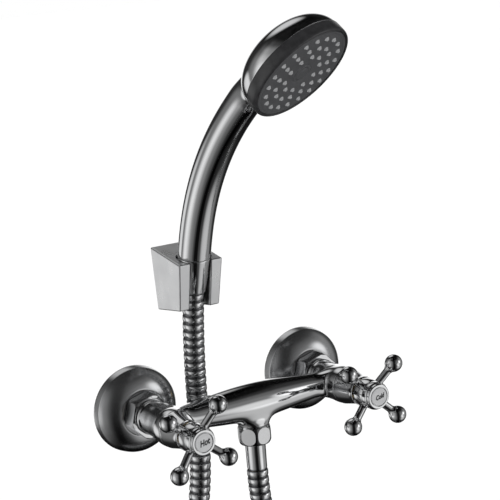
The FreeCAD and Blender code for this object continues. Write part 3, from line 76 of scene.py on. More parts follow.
IN_HANDSET = (along_handle(HANDLE_LENGTH + HEAD_OFFSET) @ Matrix.Rotation(HEAD_TILT, 4, "X")
              @ Matrix.Translation((0, 0, HEAD_RISE)))
HEAD = HANDSET @ IN_HANDSET


def on_valve(side, turn=0.0):
    """Frame of a valve axis, whose heights are stations out from the wall."""
    out = Matrix.Translation((VALVE_X * side, 0, 0)) @ Matrix.Rotation(math.radians(90), 4, "X")
    return out @ Matrix.Rotation(math.radians(turn), 4, "Z")


# Finishes

# Numbers of a Mix node's colour sockets: the bare colour, the painted shade colour and the result
MIX_BARE, MIX_PAINTED_SHADE, MIX_COLOUR = 6, 7, 2


def finish(name, colour, tint, metallic, rough, grain, bump=(60.0, 0.02), coat=0.0, painted_groove_shade=None):
    """Surface that drifts between two colours and two roughnesses, with a fine relief of its own scale, and
    painted shade in grooves where a shade colour is given.
    """
    made = bpy.data.materials.new(name)
    made.use_nodes = True
    nodes, links = made.node_tree.nodes, made.node_tree.links
    shader = nodes["Principled BSDF"]
    shader.inputs["Metallic"].default_value = metallic
    shader.inputs["Coat Weight"].default_value = coat
    shader.inputs["Coat Roughness"].default_value = 0.12
    place = nodes.new("ShaderNodeTexCoord")
    mottle = nodes.new("ShaderNodeTexNoise")
    mottle.inputs["Scale"].default_value = grain
    mottle.inputs["Detail"].default_value = 5.0
    links.new(place.outputs["Object"], mottle.inputs["Vector"])
    drift = nodes.new("ShaderNodeValToRGB")
    drift.color_ramp.elements[0].position = 0.35
    drift.color_ramp.elements[0].color = (*colour, 1)
    drift.color_ramp.elements[1].position = 0.65
    drift.color_ramp.elements[1].color = (*tint, 1)
    links.new(mottle.outputs["Fac"], drift.inputs["Fac"])
    gloss = nodes.new("ShaderNodeMapRange")
    gloss.inputs["From Min"].default_value = 0.3
    gloss.inputs["From Max"].default_value = 0.7
    gloss.inputs["To Min"].default_value = rough[0]
    gloss.inputs["To Max"].default_value = rough[1]
    links.new(mottle.outputs["Fac"], gloss.inputs["Value"])
    links.new(gloss.outputs["Result"], shader.inputs["Roughness"])
    relief = nodes.new("ShaderNodeTexNoise")
    relief.inputs["Scale"].default_value = bump[0]
    relief.inputs["Detail"].default_value = 3.0
    links.new(place.outputs["Object"], relief.inputs["Vector"])
    raised = nodes.new("ShaderNodeBump")
    raised.inputs["Strength"].default_value = bump[1]
    raised.inputs["Distance"].default_value = 0.001
    links.new(relief.outputs["Fac"], raised.inputs["Height"])
    links.new(raised.outputs["Normal"], shader.inputs["Normal"])
    surface = drift.outputs["Color"]
    # Painted shade: the colour darkens towards a grey where the mesh's groove mask says the surface lies
    # deep in a groove.
    if painted_groove_shade:
        painted_shade_mask = nodes.new("ShaderNodeAttribute")
        painted_shade_mask.attribute_name = "painted_groove_shade"
        shade = nodes.new("ShaderNodeMix")
        shade.data_type = "RGBA"
        shade.inputs[MIX_PAINTED_SHADE].default_value = (*painted_groove_shade, 1)
        links.new(painted_shade_mask.outputs["Fac"], shade.inputs["Factor"])
        links.new(surface, shade.inputs[MIX_BARE])
        surface = shade.outputs[MIX_COLOUR]
    links.new(surface, shader.inputs["Base Color"])
    return made


CHROME = finish("polished_chrome", (0.80, 0.805, 0.81), (0.77, 0.775, 0.785), 1.0, (0.045, 0.075), 35.0)
# A darker copy of the chrome, rougher, whose lower base colour is painted shade that dims the escutcheon
# domes.
CHROME_SOFT_SHADED = finish("soft_chrome_painted_shade", (0.60, 0.605, 0.61), (0.57, 0.575, 0.585), 1.0, (0.2, 0.24), 30.0,
                     (90.0, 0.015))
CHROME_TURNED = finish("turned_chrome", (0.80, 0.805, 0.81), (0.76, 0.765, 0.775), 1.0, (0.06, 0.10), 90.0,
                       (220.0, 0.015))
SATIN = finish("satin_chrome", (0.80, 0.805, 0.81), (0.77, 0.775, 0.785), 1.0, (0.26, 0.32), 60.0,
               (200.0, 0.01))
PLATED = finish("plated_plastic", (0.80, 0.805, 0.81), (0.77, 0.775, 0.785), 1.0, (0.06, 0.09), 28.0,
                (40.0, 0.03))
# The hose's grooves get painted shade, a dark grey mixed in by how deep they lie.
HOSE_STEEL = finish("hose_steel", (0.84, 0.845, 0.85), (0.76, 0.765, 0.775), 1.0, (0.12, 0.2), 160.0,
                    (700.0, 0.03), painted_groove_shade=(0.16, 0.16, 0.17))
BRASS = finish("machined_brass", (0.66, 0.50, 0.24), (0.55, 0.40, 0.18), 1.0, (0.2, 0.32), 120.0,
               (600.0, 0.05))
CERAMIC = finish("lapped_ceramic", (0.86, 0.85, 0.82), (0.80, 0.79, 0.76), 0.0, (0.25, 0.35), 200.0,
                 (900.0, 0.02))
STEEL = finish("plain_steel", (0.58, 0.58, 0.59), (0.48, 0.48, 0.50), 1.0, (0.22, 0.34), 150.0,
               (700.0, 0.05))
RUBBER = finish("seal_rubber", (0.035, 0.035, 0.037), (0.06, 0.06, 0.06), 0.0, (0.6, 0.75), 300.0,
                (1200.0, 0.12))
STRAP = finish("strap_fabric", (0.05, 0.05, 0.055), (0.09, 0.09, 0.095), 0.0, (0.75, 0.9), 900.0,
               (1800.0, 0.4))
RING_BLACK = finish("satin_black", (0.018, 0.018, 0.019), (0.028, 0.028, 0.03), 0.0, (0.28, 0.38), 260.0,
                    (1500.0, 0.05))
PLATE_GREY = finish("fine_grained_grey", (0.058, 0.059, 0.062), (0.072, 0.073, 0.077), 0.0, (0.42, 0.55),
                    500.0, (2500.0, 0.1))
NOZZLE_GREY = finish("soft_nozzle_grey", (0.38, 0.385, 0.39), (0.31, 0.315, 0.32), 0.0, (0.45, 0.6), 400.0,
                     (1500.0, 0.08))
INNER = finish("inner_plastic", (0.16, 0.16, 0.17), (0.22, 0.22, 0.23), 0.0, (0.4, 0.55), 200.0,
               (900.0, 0.05))
INDEX_FACE = finish("index_enamel", (0.42, 0.423, 0.43), (0.47, 0.473, 0.48), 0.0, (0.25, 0.4), 260.0,
                    (1500.0, 0.04), coat=0.5)
INK = finish("letter_ink", (0.006, 0.006, 0.007), (0.012, 0.012, 0.013), 0.0, (0.5, 0.65), 800.0,
             (2500.0, 0.05))

BY_SLOT = {"chrome": CHROME, "brass": BRASS, "ceramic": CERAMIC, "steel": STEEL, "index": INDEX_FACE,
           "rubber": RUBBER, "hose": HOSE_STEEL, "strap": STRAP, "plated_plastic": PLATED,
           "ring": RING_BLACK, "plate": PLATE_GREY, "inner_plastic": INNER, "nozzle": NOZZLE_GREY}


# Shaping

# Corners closer than this, in millimetres, are one
WELD = 0.002
# A cage is wider than its rounded form: a tube's of eight sides and the shower head's of sixteen
CAGE = 1 / 0.9024
HEAD_CAGE = 1 / 0.9746
# Steps in a rounded corner: at least, at most, and for each millimetre of rounding
FEWEST_STEPS, MOST_STEPS, STEPS_PER_MM = 3, 12, 1.5


def piece(name, bm, place, body, coat, stands_for=(), crisp=38.0, levels=0):
    """Bring a drawn shape to metres in its place, smooth it, and let it ride on its body."""
    bmesh.ops.remove_doubles(bm, verts=bm.verts, dist=WELD)
    bmesh.ops.recalc_face_normals(bm, faces=bm.faces)
    bm.transform(Matrix.Scale(0.001, 4) @ place)
    mesh = bpy.data.meshes.new(name)
    bm.to_mesh(mesh)
    bm.free()
    mesh.shade_smooth()
    if crisp:
        mesh.set_sharp_from_angle(angle=math.radians(crisp))
    mesh.materials.append(coat)
    made = bpy.data.objects.new(name, mesh)
    bpy.context.scene.collection.objects.link(made)
    if levels:
        rounded = made.modifiers.new("rounding", "SUBSURF")
        rounded.levels = levels
        rounded.render_levels = levels
    if body:
        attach(made, body)
    if stands_for:
        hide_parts(*stands_for)
    return made


def spun(outline, steps=96, closed=False, start=None):
    """Turn an outline of (radius, height, rounding) corners about Z, in a new shape or one begun already."""
    bm = start or bmesh.new()
    old = set(bm.verts)
    corners = [bm.verts.new((point[0], 0, point[1])) for point in outline]
    for pair in zip(corners, corners[1:]):
        bm.edges.new(pair)
    if closed:
        bm.edges.new((corners[-1], corners[0]))
    for rounding in sorted({point[2] for point in outline if len(point) > 2}):
        chosen = [v for v, point in zip(corners, outline) if len(point) > 2 and point[2] == rounding]
        steps_round = min(MOST_STEPS, int(FEWEST_STEPS + rounding * STEPS_PER_MM))
        bmesh.ops.bevel(bm, geom=chosen, offset=rounding, offset_type="OFFSET", segments=steps_round,
                        profile=0.5, affect="VERTICES", material=-1, clamp_overlap=False)
    line = [v for v in bm.verts if v not in old]
    edges = list({e for v in line for e in v.link_edges})
    bmesh.ops.spin(bm, geom=line + edges, cent=(0, 0, 0), axis=(0, 0, 1), angle=2 * math.pi,
                   steps=steps, use_merge=True)
    bmesh.ops.remove_doubles(bm, verts=[v for v in bm.verts if v not in old], dist=WELD)
    return bm


def mill_flats(bm, reach, first):
    """Cut six flats at a distance from the Z axis, the first facing an angle."""
    for step in range(6):
        angle = math.radians(first + 60 * step)
        facing = Vector((math.cos(angle), math.sin(angle), 0))
        cut = bmesh.ops.bisect_plane(bm, geom=bm.verts[:] + bm.edges[:] + bm.faces[:], dist=0.0001,
                                     plane_co=facing * reach, plane_no=facing, clear_outer=True)
        rim = [e for e in cut["geom_cut"] if isinstance(e, bmesh.types.BMEdge)]
        bmesh.ops.edgeloop_fill(bm, edges=[e for e in rim if e.is_boundary])
    return bm


def hoop(bm, place, radius, count=8):
    """Ring of corners about a frame's Z axis, as the edges between them."""
    made = bmesh.ops.create_circle(bm, segments=count, radius=radius, matrix=place)
    return list({e for v in made["verts"] for e in v.link_edges})


def cage_tube(bm, place, rings):
    """Eight-sided cage through (height, radius) rings, sized so that its rounded form has those radii."""
    loops = [hoop(bm, place @ Matrix.Translation((0, 0, height)), radius * CAGE)
             for height, radius in rings]
    for near, far in zip(loops, loops[1:]):
        bmesh.ops.bridge_loops(bm, edges=near + far)
    return loops


def open_at(bm, point):
    """Take out the faces round the cage corner nearest to a point, and give the hole's rim."""
    corner = min(bm.verts, key=lambda v: (v.co - Vector(point)).length)
    rim = [e for f in corner.link_faces for e in f.edges if corner not in e.verts]
    bmesh.ops.delete(bm, geom=[corner], context="VERTS")
    return [e for e in rim if e.is_valid]


# Mixer body: rings of the cages as (place along the axis, radius)

BAR_RADIUS = 14.27
BARREL_RADIUS = 12.6
BAR_RINGS = ((-57.5, 9.5), (-50, 10.2), (-38, 11.6), (-26, 12.85), (-13.5, 13.9), (0, BAR_RADIUS),
             (13.5, 13.9), (26, 12.85), (38, 11.6), (50, 10.2), (57.5, 9.5))
BARREL_RINGS = ((30.62, 10.6), (30.62, 12.9), (30.9, 13.3), (32.5, 13.35), (32.9, 12.75),
                (33.6, BARREL_RADIUS), (40.6, BARREL_RADIUS), (50, 12.75), (59.4, 14.2), (63.5, 14.65),
                (67, 14.45), (69.7, 14.2), (69.95, 13.9), (69.95, 10.6))
BOSS_RINGS = ((-16.4, 12.3), (-17.3, 12.3), (-17.6, 12.0), (-17.6, 10.6), (-17.7, 10.4), (-28.0, 10.4),
              (-28.1, 10.2), (-28.1, 6.8), (-12.0, 6.8))


def casting():
    """Two barrels, the crossbar and the outlet boss in one rounded cage."""
    bm = bmesh.new()
    bar = cage_tube(bm, OUTLET @ Matrix.Rotation(math.radians(90), 4, "Y"), BAR_RINGS)
    for side, end in ((-1, bar[0]), (1, bar[-1])):
        cage_tube(bm, on_valve(side), BARREL_RINGS)
        rim = open_at(bm, (side * (VALVE_X - BARREL_RADIUS * CAGE), -BAR_STATION, 0))
        bmesh.ops.bridge_loops(bm, edges=rim + end)
    rim = open_at(bm, (0, -BAR_STATION, -BAR_RADIUS * CAGE))
    boss = cage_tube(bm, OUTLET, BOSS_RINGS)
    bmesh.ops.bridge_loops(bm, edges=rim + boss[0])
    piece("cast_body", bm, HERE, "mixer", CHROME, ["body_casting"], crisp=0, levels=3)


# Turned pieces of the mixer: outlines as (radius, station, rounding)

def escutcheon(name, side):
    """Domed wall cover with a stepped rim and a hollow back."""
    outline = [(32.6, 0.0), (33.8, 0.0, 0.3), (33.55, 1.6, 0.2), (32.7, 6.6, 0.5), (32.2, 7.2, 0.25),
               (27.07, 15.01, 9.3), (17.6, 16.6, 0.4), (17.3, 16.25, 0.15), (13.4, 16.25), (13.4, 10.2),
               (14.5, 10.2), (14.5, 14.6), (17.0, 14.7), (25.2, 12.6, 6.0), (31.3, 6.3, 0.5)]
    bm = spun(outline, steps=128, closed=True)
    # The cover takes the darker chrome, painted shade on its dome.
    piece(name + "_cover", bm, on_valve(side), "mixer", CHROME_SOFT_SHADED, [name + "_escutcheon"])


UNION_NUT_FLATS = 30.0
UNION_NUT_TURN = 45.0


def union_nut(name, side):
    """Hexagonal nut with rounded corners."""
    outline = [(13.3, 16.85), (16.2, 16.85, 0.2), (17.55, 18.9, 1.5), (17.55, 27.9, 1.5),
               (16.2, 29.95, 0.2), (10.7, 29.95), (10.7, 26.0), (13.3, 26.0)]
    nut = mill_flats(spun(outline, closed=True), UNION_NUT_FLATS / 2, UNION_NUT_TURN)
    piece(name + "_nut", nut, on_valve(side), "mixer", CHROME_TURNED, [name + "_union_nut"],
          crisp=16)


def sleeve(name, side):
    """Waisted bell over the headwork."""
    outline = [(13.1, 70.08), (13.85, 70.08, 0.1), (14.2, 70.5, 0.2), (12.7, 77.0, 4.0), (10.75, 86.6, 2.4),
               (10.85, 88.6, 0.8), (11.4, 90.35, 0.3), (10.3, 90.35, 0.2), (9.6, 87.0), (9.6, 80.0),
               (8.1, 80.0), (8.1, 76.7), (11.6, 76.7), (13.1, 72.0)]
    piece(name + "_bonnet", spun(outline, closed=True), on_valve(side), "mixer", CHROME,
          [name + "_sleeve"])


ARM_FOOT = Vector((5.0, 0, 99.6))
ARM_RISE = math.atan2(4.0, 23.7)
ARM_REACH = 24.035
ARM_RADIUS = 3.0
BALL_RADIUS = 6.8


def cross_handle(name, side, turn):
    """Hub and four arms that swell into their balls."""
    hub = [(4.0, 90.9), (9.2, 90.9, 0.5), (11.1, 92.8, 1.5), (11.35, 97.5, 3.0), (10.15, 102.9, 0.4),
           (8.25, 103.0), (8.25, 100.0), (2.65, 100.0), (2.65, 98.5), (4.0, 98.5)]
    bm = spun(hub, closed=True)
    tip = ARM_REACH + BALL_RADIUS
    arm = [(0, 0), (ARM_RADIUS, 0.0), (ARM_RADIUS, ARM_REACH - 6.36, 1.75), (4.37, ARM_REACH - 5.21),
           (BALL_RADIUS, ARM_REACH - 3.171, 3.15), (BALL_RADIUS, ARM_REACH), (BALL_RADIUS, tip, 6.78),
           (0, tip)]
    lean = Matrix.Translation(ARM_FOOT) @ Matrix.Rotation(math.radians(90) - ARM_RISE, 4, "Y")
    for quarter in range(4):
        old = set(bm.verts)
        spun(arm, steps=40, start=bm)
        fresh = [v for v in bm.verts if v not in old]
        stand = Matrix.Rotation(math.radians(45 + 90 * quarter), 4, "Z") @ lean
        bmesh.ops.transform(bm, matrix=stand, verts=fresh)
    piece(name + "_cross", bm, on_valve(side, turn), name + "_handle", CHROME,
          [name + "_cross_handle"])


def cap(name, side):
    """Stepped bezel round the index disc."""
    outline = [(8.15, 100.9), (8.15, 103.05), (9.9, 103.05, 0.1), (10.7, 103.9, 0.35), (10.7, 107.7, 0.5),
               (10.1, 108.7, 0.3), (9.75, 108.8, 0.25), (9.45, 110.6, 0.5), (9.0, 111.0, 0.2),
               (7.6, 111.05, 0.15), (7.4, 110.8), (7.4, 109.5), (0, 109.5), (0, 108.0), (7.0, 108.0),
               (7.0, 100.9)]
    piece(name + "_bezel", spun(outline, closed=True), on_valve(side), name + "_handle", CHROME_TURNED,
          [name + "_cap"])


INDEX_FRONT = 111.66
WORD_WIDTH = 16.6
WORD_HEIGHT_SHARE = 1.25
WORD_TURN = math.radians(12)


def index(name, side, word):
    """Enamelled disc that leaves a fine gap to its bezel, and its word."""
    outline = [(0, 109.52), (7.12, 109.52), (7.12, 110.4), (6.8, 110.45), (6.75, 111.45, 0.2),
               (6.3, 111.6, 0.2), (0, INDEX_FRONT)]
    piece(name + "_disc", spun(outline), on_valve(side), name + "_handle", INDEX_FACE,
          [name + "_index"], crisp=25)
    letters = bpy.data.curves.new(name + "_letters", "FONT")
    letters.body = word
    letters.size = WORD_WIDTH / (len(word) + 0.3)
    letters.shear = 0.4
    letters.offset = 0.17
    letters.align_x = "CENTER"
    letters.align_y = "CENTER"
    letters.extrude = 0.04
    letters.resolution_u = 6
    writing = bpy.data.objects.new(name + "_letters", letters)
    bpy.context.scene.collection.objects.link(writing)
    bpy.context.view_layer.update()
    flat = bpy.data.meshes.new_from_object(writing)
    bpy.data.objects.remove(writing)
    bm = bmesh.new()
    bm.from_mesh(flat)
    bpy.data.meshes.remove(flat)
    lift = on_valve(side) @ Matrix.Translation((0, 0, INDEX_FRONT)) @ Matrix.Rotation(WORD_TURN, 4, "Z")
    lift = lift @ Matrix.Diagonal((1, WORD_HEIGHT_SHARE, 1, 1))
    piece(name + "_word", bm, lift, name + "_handle", INK, crisp=30)


# Outlet and hose

HOSE_ROUTE_DOWN = ((0, -50, -53.8), (0, -50, -83.5), (9.1, -50, -111.4), (26.4, -50, -135.2),
                   (50.1, -50, -152.5), (67.4, -50, -176.3), (76.5, -50, -204.2), (76.5, -50, -233.5))
HOSE_ROUTE_UP = ((-106.5, -20.2, -233.5), (-106.5, -20.2, -206.0), (-98.9, -20.2, -179.6),
                 (-84.3, -20.2, -156.3), (-63.9, -20.2, -137.9), (-48.5, -20.2, -115.1),
                 (-37.6, -20.2, -85.1), (-31.6, -20.2, -41.0), (-30, -20.353, 51.634),
                 (-30, -28.901, 88.660))
COIL_X = -15
COIL_Y = -50
COIL_Z = -249.9
COIL_RADIUS = 91.5
COIL_LEAD = 19.867
COIL_STEP = 18
COIL_END = 540


def hose_route():
    """Control points of the hose: down from the outlet, one and a half turns, and up to the cone."""
    coil = []
    reach = COIL_RADIUS / math.cos(math.radians(COIL_STEP / 2))
    for angle in range(0, COIL_END + 1, COIL_STEP):
        turn = math.radians(angle)
        coil.append((COIL_X + reach * math.cos(turn), COIL_Y + COIL_LEAD * angle / 360,
                     COIL_Z - reach * math.sin(turn)))
    return [Vector(point) for point in (*HOSE_ROUTE_DOWN, *coil, *HOSE_ROUTE_UP)]


def hose_line():
    """Points read from the hose's smooth line, in millimetres."""
    data = bpy.data.curves.new("hose_line", "CURVE")
    data.dimensions = "3D"
    data.resolution_u = 12
    spline = data.splines.new("NURBS")
    route = hose_route()
    spline.points.add(len(route) - 1)
    for point, place in zip(spline.points, route):
        point.co = (*place, 1)
    spline.order_u = 3
    spline.use_endpoint_u = True
    line = bpy.data.objects.new("hose_line", data)
    bpy.context.scene.collection.objects.link(line)
    bpy.context.view_layer.update()
    mesh = bpy.data.meshes.new_from_object(line)
    points = [v.co.copy() for v in mesh.vertices]
    bpy.data.objects.remove(line)
    bpy.data.meshes.remove(mesh)
    return points


# One rib as (share of its pitch, radius, how deep in the groove, which sets how much painted shade it gets)
HOSE_CORE = 7.5
RIB = ((0.035, HOSE_CORE, 1), (0.07, HOSE_CORE, 1), (0.10, 7.9, 0.4), (0.15, 8.18, 0), (0.44, 8.22, 0),
       (0.73, 8.18, 0), (0.78, 7.9, 0.4), (0.81, HOSE_CORE, 1), (0.855, 7.82, 0.3), (0.90, HOSE_CORE, 1),
       (0.945, HOSE_CORE, 1), (0.99, 7.82, 0.3))
RIB_PITCH = 6.2
HOSE_SIDES = 28


def hose():
    """Ribbed metal hose: a straight ribbed tube, turned in one go and then laid along the hose's line."""
    line = hose_line()
    run = [0.0]
    for near, far in zip(line, line[1:]):
        run.append(run[-1] + (far - near).length)
    count = round(run[-1] / RIB_PITCH)
    pitch = run[-1] / count
    bm = bmesh.new()
    # Painted shade mask: each corner's depth in a groove, which darkens the hose's colour there.
    painted_shade_mask = bm.verts.layers.float.new("painted_groove_shade")
    ribs = [(pitch * (rib + share), radius, low) for rib in range(count) for share, radius, low in RIB]
    corners = []
    for height, radius, low in [(0.0, HOSE_CORE, 1.0)] + ribs + [(run[-1], HOSE_CORE, 1.0)]:
        corner = bm.verts.new((radius, 0, height))
        corner[painted_shade_mask] = low
        corners.append(corner)
    for pair in zip(corners, corners[1:]):
        bm.edges.new(pair)
    bmesh.ops.spin(bm, geom=bm.verts[:] + bm.edges[:], cent=(0, 0, 0), axis=(0, 0, 1), angle=2 * math.pi,
                   steps=HOSE_SIDES, use_merge=True)
    frames = []
    side = Vector((0, 1, 0))
    for index, point in enumerate(line):
        ahead = line[min(index + 1, len(line) - 1)] - line[max(index - 1, 0)]
        ahead.normalize()
        side = (side - ahead * side.dot(ahead)).normalized()
        frames.append((point, side, ahead.cross(side)))
    at = 0
    for vert in sorted(bm.verts, key=lambda v: v.co.z):
        while at < len(run) - 2 and run[at + 1] < vert.co.z:
            at += 1
        share = min(max((vert.co.z - run[at]) / (run[at + 1] - run[at]), 0.0), 1.0)
        centre, across, over = (a.lerp(b, share) for a, b in zip(frames[at], frames[at + 1]))
        vert.co = centre + across.normalized() * vert.co.x + over.normalized() * vert.co.y
    made = piece("hose", bm, HERE, None, HOSE_STEEL, ["hose_outlet", "hose_coil", "hose_riser"],
                 crisp=50)
    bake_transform(made)
    straps()


HOSE_NUT_FLATS = 24.0
HOSE_NUT_TURN = 38.0


def hose_fittings():
    """Hose nut with milled ovals, and the smooth ferrule below it."""
    outline = [(10.55, -18.02), (11.5, -18.02, 0.3), (13.0, -20.6, 1.6), (13.45, -25.3, 3.0),
               (13.0, -30.0, 1.8), (11.4, -32.68, 0.4), (8.25, -32.68), (8.25, -31.25), (10.55, -31.25)]
    nut = mill_flats(spun(outline, steps=128, closed=True), HOSE_NUT_FLATS / 2, HOSE_NUT_TURN)
    piece("swivel_nut", nut, OUTLET, "mixer", CHROME_TURNED, ["hose_nut"], crisp=16)
    ferrule = [(5.05, -53.8), (7.2, -53.8, 0.2), (7.75, -52.6, 0.4), (7.9, -33.0, 0.3), (7.7, -31.25),
               (5.05, -31.25)]
    bm = spun(ferrule, steps=64, closed=True)
    piece("outlet_sleeve", bm, OUTLET, "mixer", CHROME_TURNED, ["outlet_ferrule"])


STRAP_ANGLES = (22, 158)
STRAP_INNER = 8.75
STRAP_OUTER = 10.0
STRAP_WIDTH = 13.6


def straps():
    """Two fabric straps round neighbouring turns of the coil."""
    made = []
    for index, angle in enumerate(STRAP_ANGLES):
        turn = math.radians(angle)
        bm = bmesh.new()
        inner = bmesh.ops.create_circle(bm, segments=48, radius=STRAP_INNER)["verts"]
        outer = bmesh.ops.create_circle(bm, segments=48, radius=STRAP_OUTER)["verts"]
        for vert in inner + outer:
            vert.co.y += COIL_LEAD if vert.co.y > 0 else 0.0
        bmesh.ops.bridge_loops(bm, edges=bm.edges[:])
        band = bmesh.ops.extrude_face_region(bm, geom=bm.faces[:])
        fresh = [g for g in band["geom"] if isinstance(g, bmesh.types.BMVert)]
        bmesh.ops.translate(bm, vec=(0, 0, STRAP_WIDTH), verts=fresh)
        rims = [e for e in bm.edges if e.is_manifold and e.calc_face_angle() > 1.2]
        bmesh.ops.bevel(bm, geom=rims, offset=0.3, segments=2, profile=0.5, affect="EDGES", material=-1)
        bmesh.ops.translate(bm, vec=(0, 0, -STRAP_WIDTH / 2), verts=bm.verts)
        centre = Vector((COIL_X + COIL_RADIUS * math.cos(turn), COIL_Y + COIL_LEAD * angle / 360,
                         COIL_Z - COIL_RADIUS * math.sin(turn)))
        way = Vector((-math.sin(turn), 0, -math.cos(turn)))
        out = Vector((0, 1, 0)).cross(way)
        stand = Matrix((out, Vector((0, 1, 0)), way)).transposed().to_4x4()
        stands_for = ["hose_ties"] if index == 0 else []
        made.append(piece("strap_%d" % (index + 1), bm, Matrix.Translation(centre) @ stand, "mixer", STRAP,
                          stands_for))
    return made


# Handset: rings of the cages as (height, radius)

HANDLE_RADIUS = 12.5
HANDLE_RINGS = ((0.0, 10.6), (0.0, 12.1), (0.35, HANDLE_RADIUS), (4.0, HANDLE_RADIUS),
                (30, HANDLE_RADIUS), (60, HANDLE_RADIUS), (90, HANDLE_RADIUS), (118, HANDLE_RADIUS),
                (140.0, 12.6), (146.5, 12.8))
# Ring of the dome where the handle comes in
DOME_GATE = (-9.5, 34.8)
DOME_RINGS = ((4.45, 39.0), (4.5, 39.95), (4.2, 39.95), (-2.0, 39.4), DOME_GATE, (-15.6, 25.5),
              (-19.8, 13.0), (-21.2, 4.0))
# The ridge stands this far round the handle's axis run on into the dome. It lifts the corners of the
# dome's cage that are within this half width, behind this height and on the handle's side of this line.
RIDGE_RADIUS = 13.6
RIDGE_HALF = 12
RIDGE_BEHIND = -12
RIDGE_LINE = -8


def handset_shell():
    """Handle that flows into the back shell, where its back runs on as a low ridge."""
    bm = bmesh.new()
    loops = [hoop(bm, along_handle(height), radius * CAGE) for height, radius in HANDLE_RINGS]
    for near, far in zip(loops, loops[1:]):
        bmesh.ops.bridge_loops(bm, edges=near + far)
    handle = set(bm.verts)
    shell = []
    for height, radius in DOME_RINGS:
        shell.append(hoop(bm, IN_HANDSET @ Matrix.Translation((0, 0, height)), radius * HEAD_CAGE, count=16))
    for near, far in zip(shell, shell[1:]):
        bmesh.ops.bridge_loops(bm, edges=near + far)
    bmesh.ops.edgeloop_fill(bm, edges=shell[-1])
    gate = open_at(bm, IN_HANDSET @ Vector((0, -DOME_GATE[1] * HEAD_CAGE, DOME_GATE[0])))
    for vert in set(bm.verts) - handle:
        spot = IN_HANDSET.inverted() @ vert.co
        if spot.y < RIDGE_LINE and abs(spot.x) < RIDGE_HALF and spot.z < RIDGE_BEHIND:
            axis = spot.y * -math.tan(HEAD_TILT - math.pi / 2) - HEAD_RISE
            spot.z = min(spot.z, axis - (RIDGE_RADIUS**2 - spot.x**2)**0.5)
            vert.co = IN_HANDSET @ spot
    bmesh.ops.bridge_loops(bm, edges=gate + loops[-1])
    piece("handset_shell", bm, HANDSET, "handset", PLATED, ["handset_body"], crisp=0,
          levels=3)


# Circles of nozzles as (radius, count)
NOZZLE_CIRCLES = ((30.8, 20), (22.8, 15), (15.3, 10))


def spray_face():
    """Ring, plate, soft nozzles and the plain middle cap."""
    ring = [(37.4, 4.55), (39.9, 4.55, 0.2), (40.0, 11.6, 1.5), (39.2, 13.2, 0.8), (38.2, 13.45, 0.35),
            (37.45, 12.75, 0.1), (37.4, 9.2)]
    bm = spun(ring, steps=128, closed=True)
    piece("spray_rim", bm, HEAD, "handset", RING_BLACK, ["spray_ring"])
    plate = [(0, 10.4), (37.3, 10.4), (37.3, 12.62, 0.25), (35.2, 12.68, 0.2), (34.9, 12.5, 0.1),
             (34.6, 12.68, 0.1), (8.1, 12.7, 0.2), (7.7, 12.35, 0.15), (7.2, 12.35, 0.15),
             (6.9, 12.7, 0.15), (5.6, 12.7), (5.6, 12.4), (0, 12.4)]
    bm = spun(plate, steps=128, closed=True)
    piece("spray_disc", bm, HEAD, "handset", PLATE_GREY, ["spray_plate"], crisp=25)
    bm = spun([(0, 8.9), (35.0, 8.9), (35.0, 10.3), (0, 10.3)], steps=64, closed=True)
    tip = [(0, 12.2), (1.85, 12.2), (1.75, 12.85, 0.15), (1.35, 13.05, 0.12), (0.95, 14.0, 0.2),
           (0.45, 14.0, 0.1), (0.4, 13.2), (0, 13.2)]
    for radius, count in NOZZLE_CIRCLES:
        for step in range(count):
            angle = 2 * math.pi * (step + 0.5) / count
            old = set(bm.verts)
            spun(tip, steps=14, start=bm)
            fresh = [v for v in bm.verts if v not in old]
            spot = (radius * math.cos(angle), radius * math.sin(angle), 0)
            bmesh.ops.translate(bm, vec=spot, verts=fresh)
    piece("soft_nozzles", bm, HEAD, "handset", NOZZLE_GREY, ["nozzles"])
    button = [(5.35, 11.4), (5.45, 12.75, 0.15), (4.9, 13.2, 0.25), (0, 13.28), (0, 11.4)]
    bm = spun(button, steps=64, closed=True)
    piece("middle_cap", bm, HEAD, "handset", PLATE_GREY, ["emblem_cap"])


def cone_nut():
    """Conical nut at the end of the hose."""
    outline = [(8.5, -27.95), (9.3, -27.95, 0.25), (9.75, -26.6, 0.3), (12.55, -1.0, 0.3),
               (12.3, -0.05, 0.25), (10.55, -0.05), (10.55, -12.0), (8.5, -12.0)]
    piece("cone_sleeve", spun(outline, closed=True), CONE, "hose_end", CHROME_TURNED,
          ["cone_nut"])


# Bracket: corners of the wedge seen from the side, as (station, height)

BACK_LOW, BACK_TOP = (0, 72.0), (0, 121.0)
FRONT_LOW, FRONT_TOP = (36.5, 76.5), (45, 113.0)
HALF_LOW, HALF_TOP = 16.75, 18.5
# Socket as (radius, height) and slot, both in the cone's frame
SOCKET = ((0, -61), (8.7, -61), (8.7, -39.2), (15.5, 24.5), (0, 24.5))
SLOT_SIZE = (17.2, 60.0, 90.0)
SLOT_MIDDLE = (0, -30, -15)


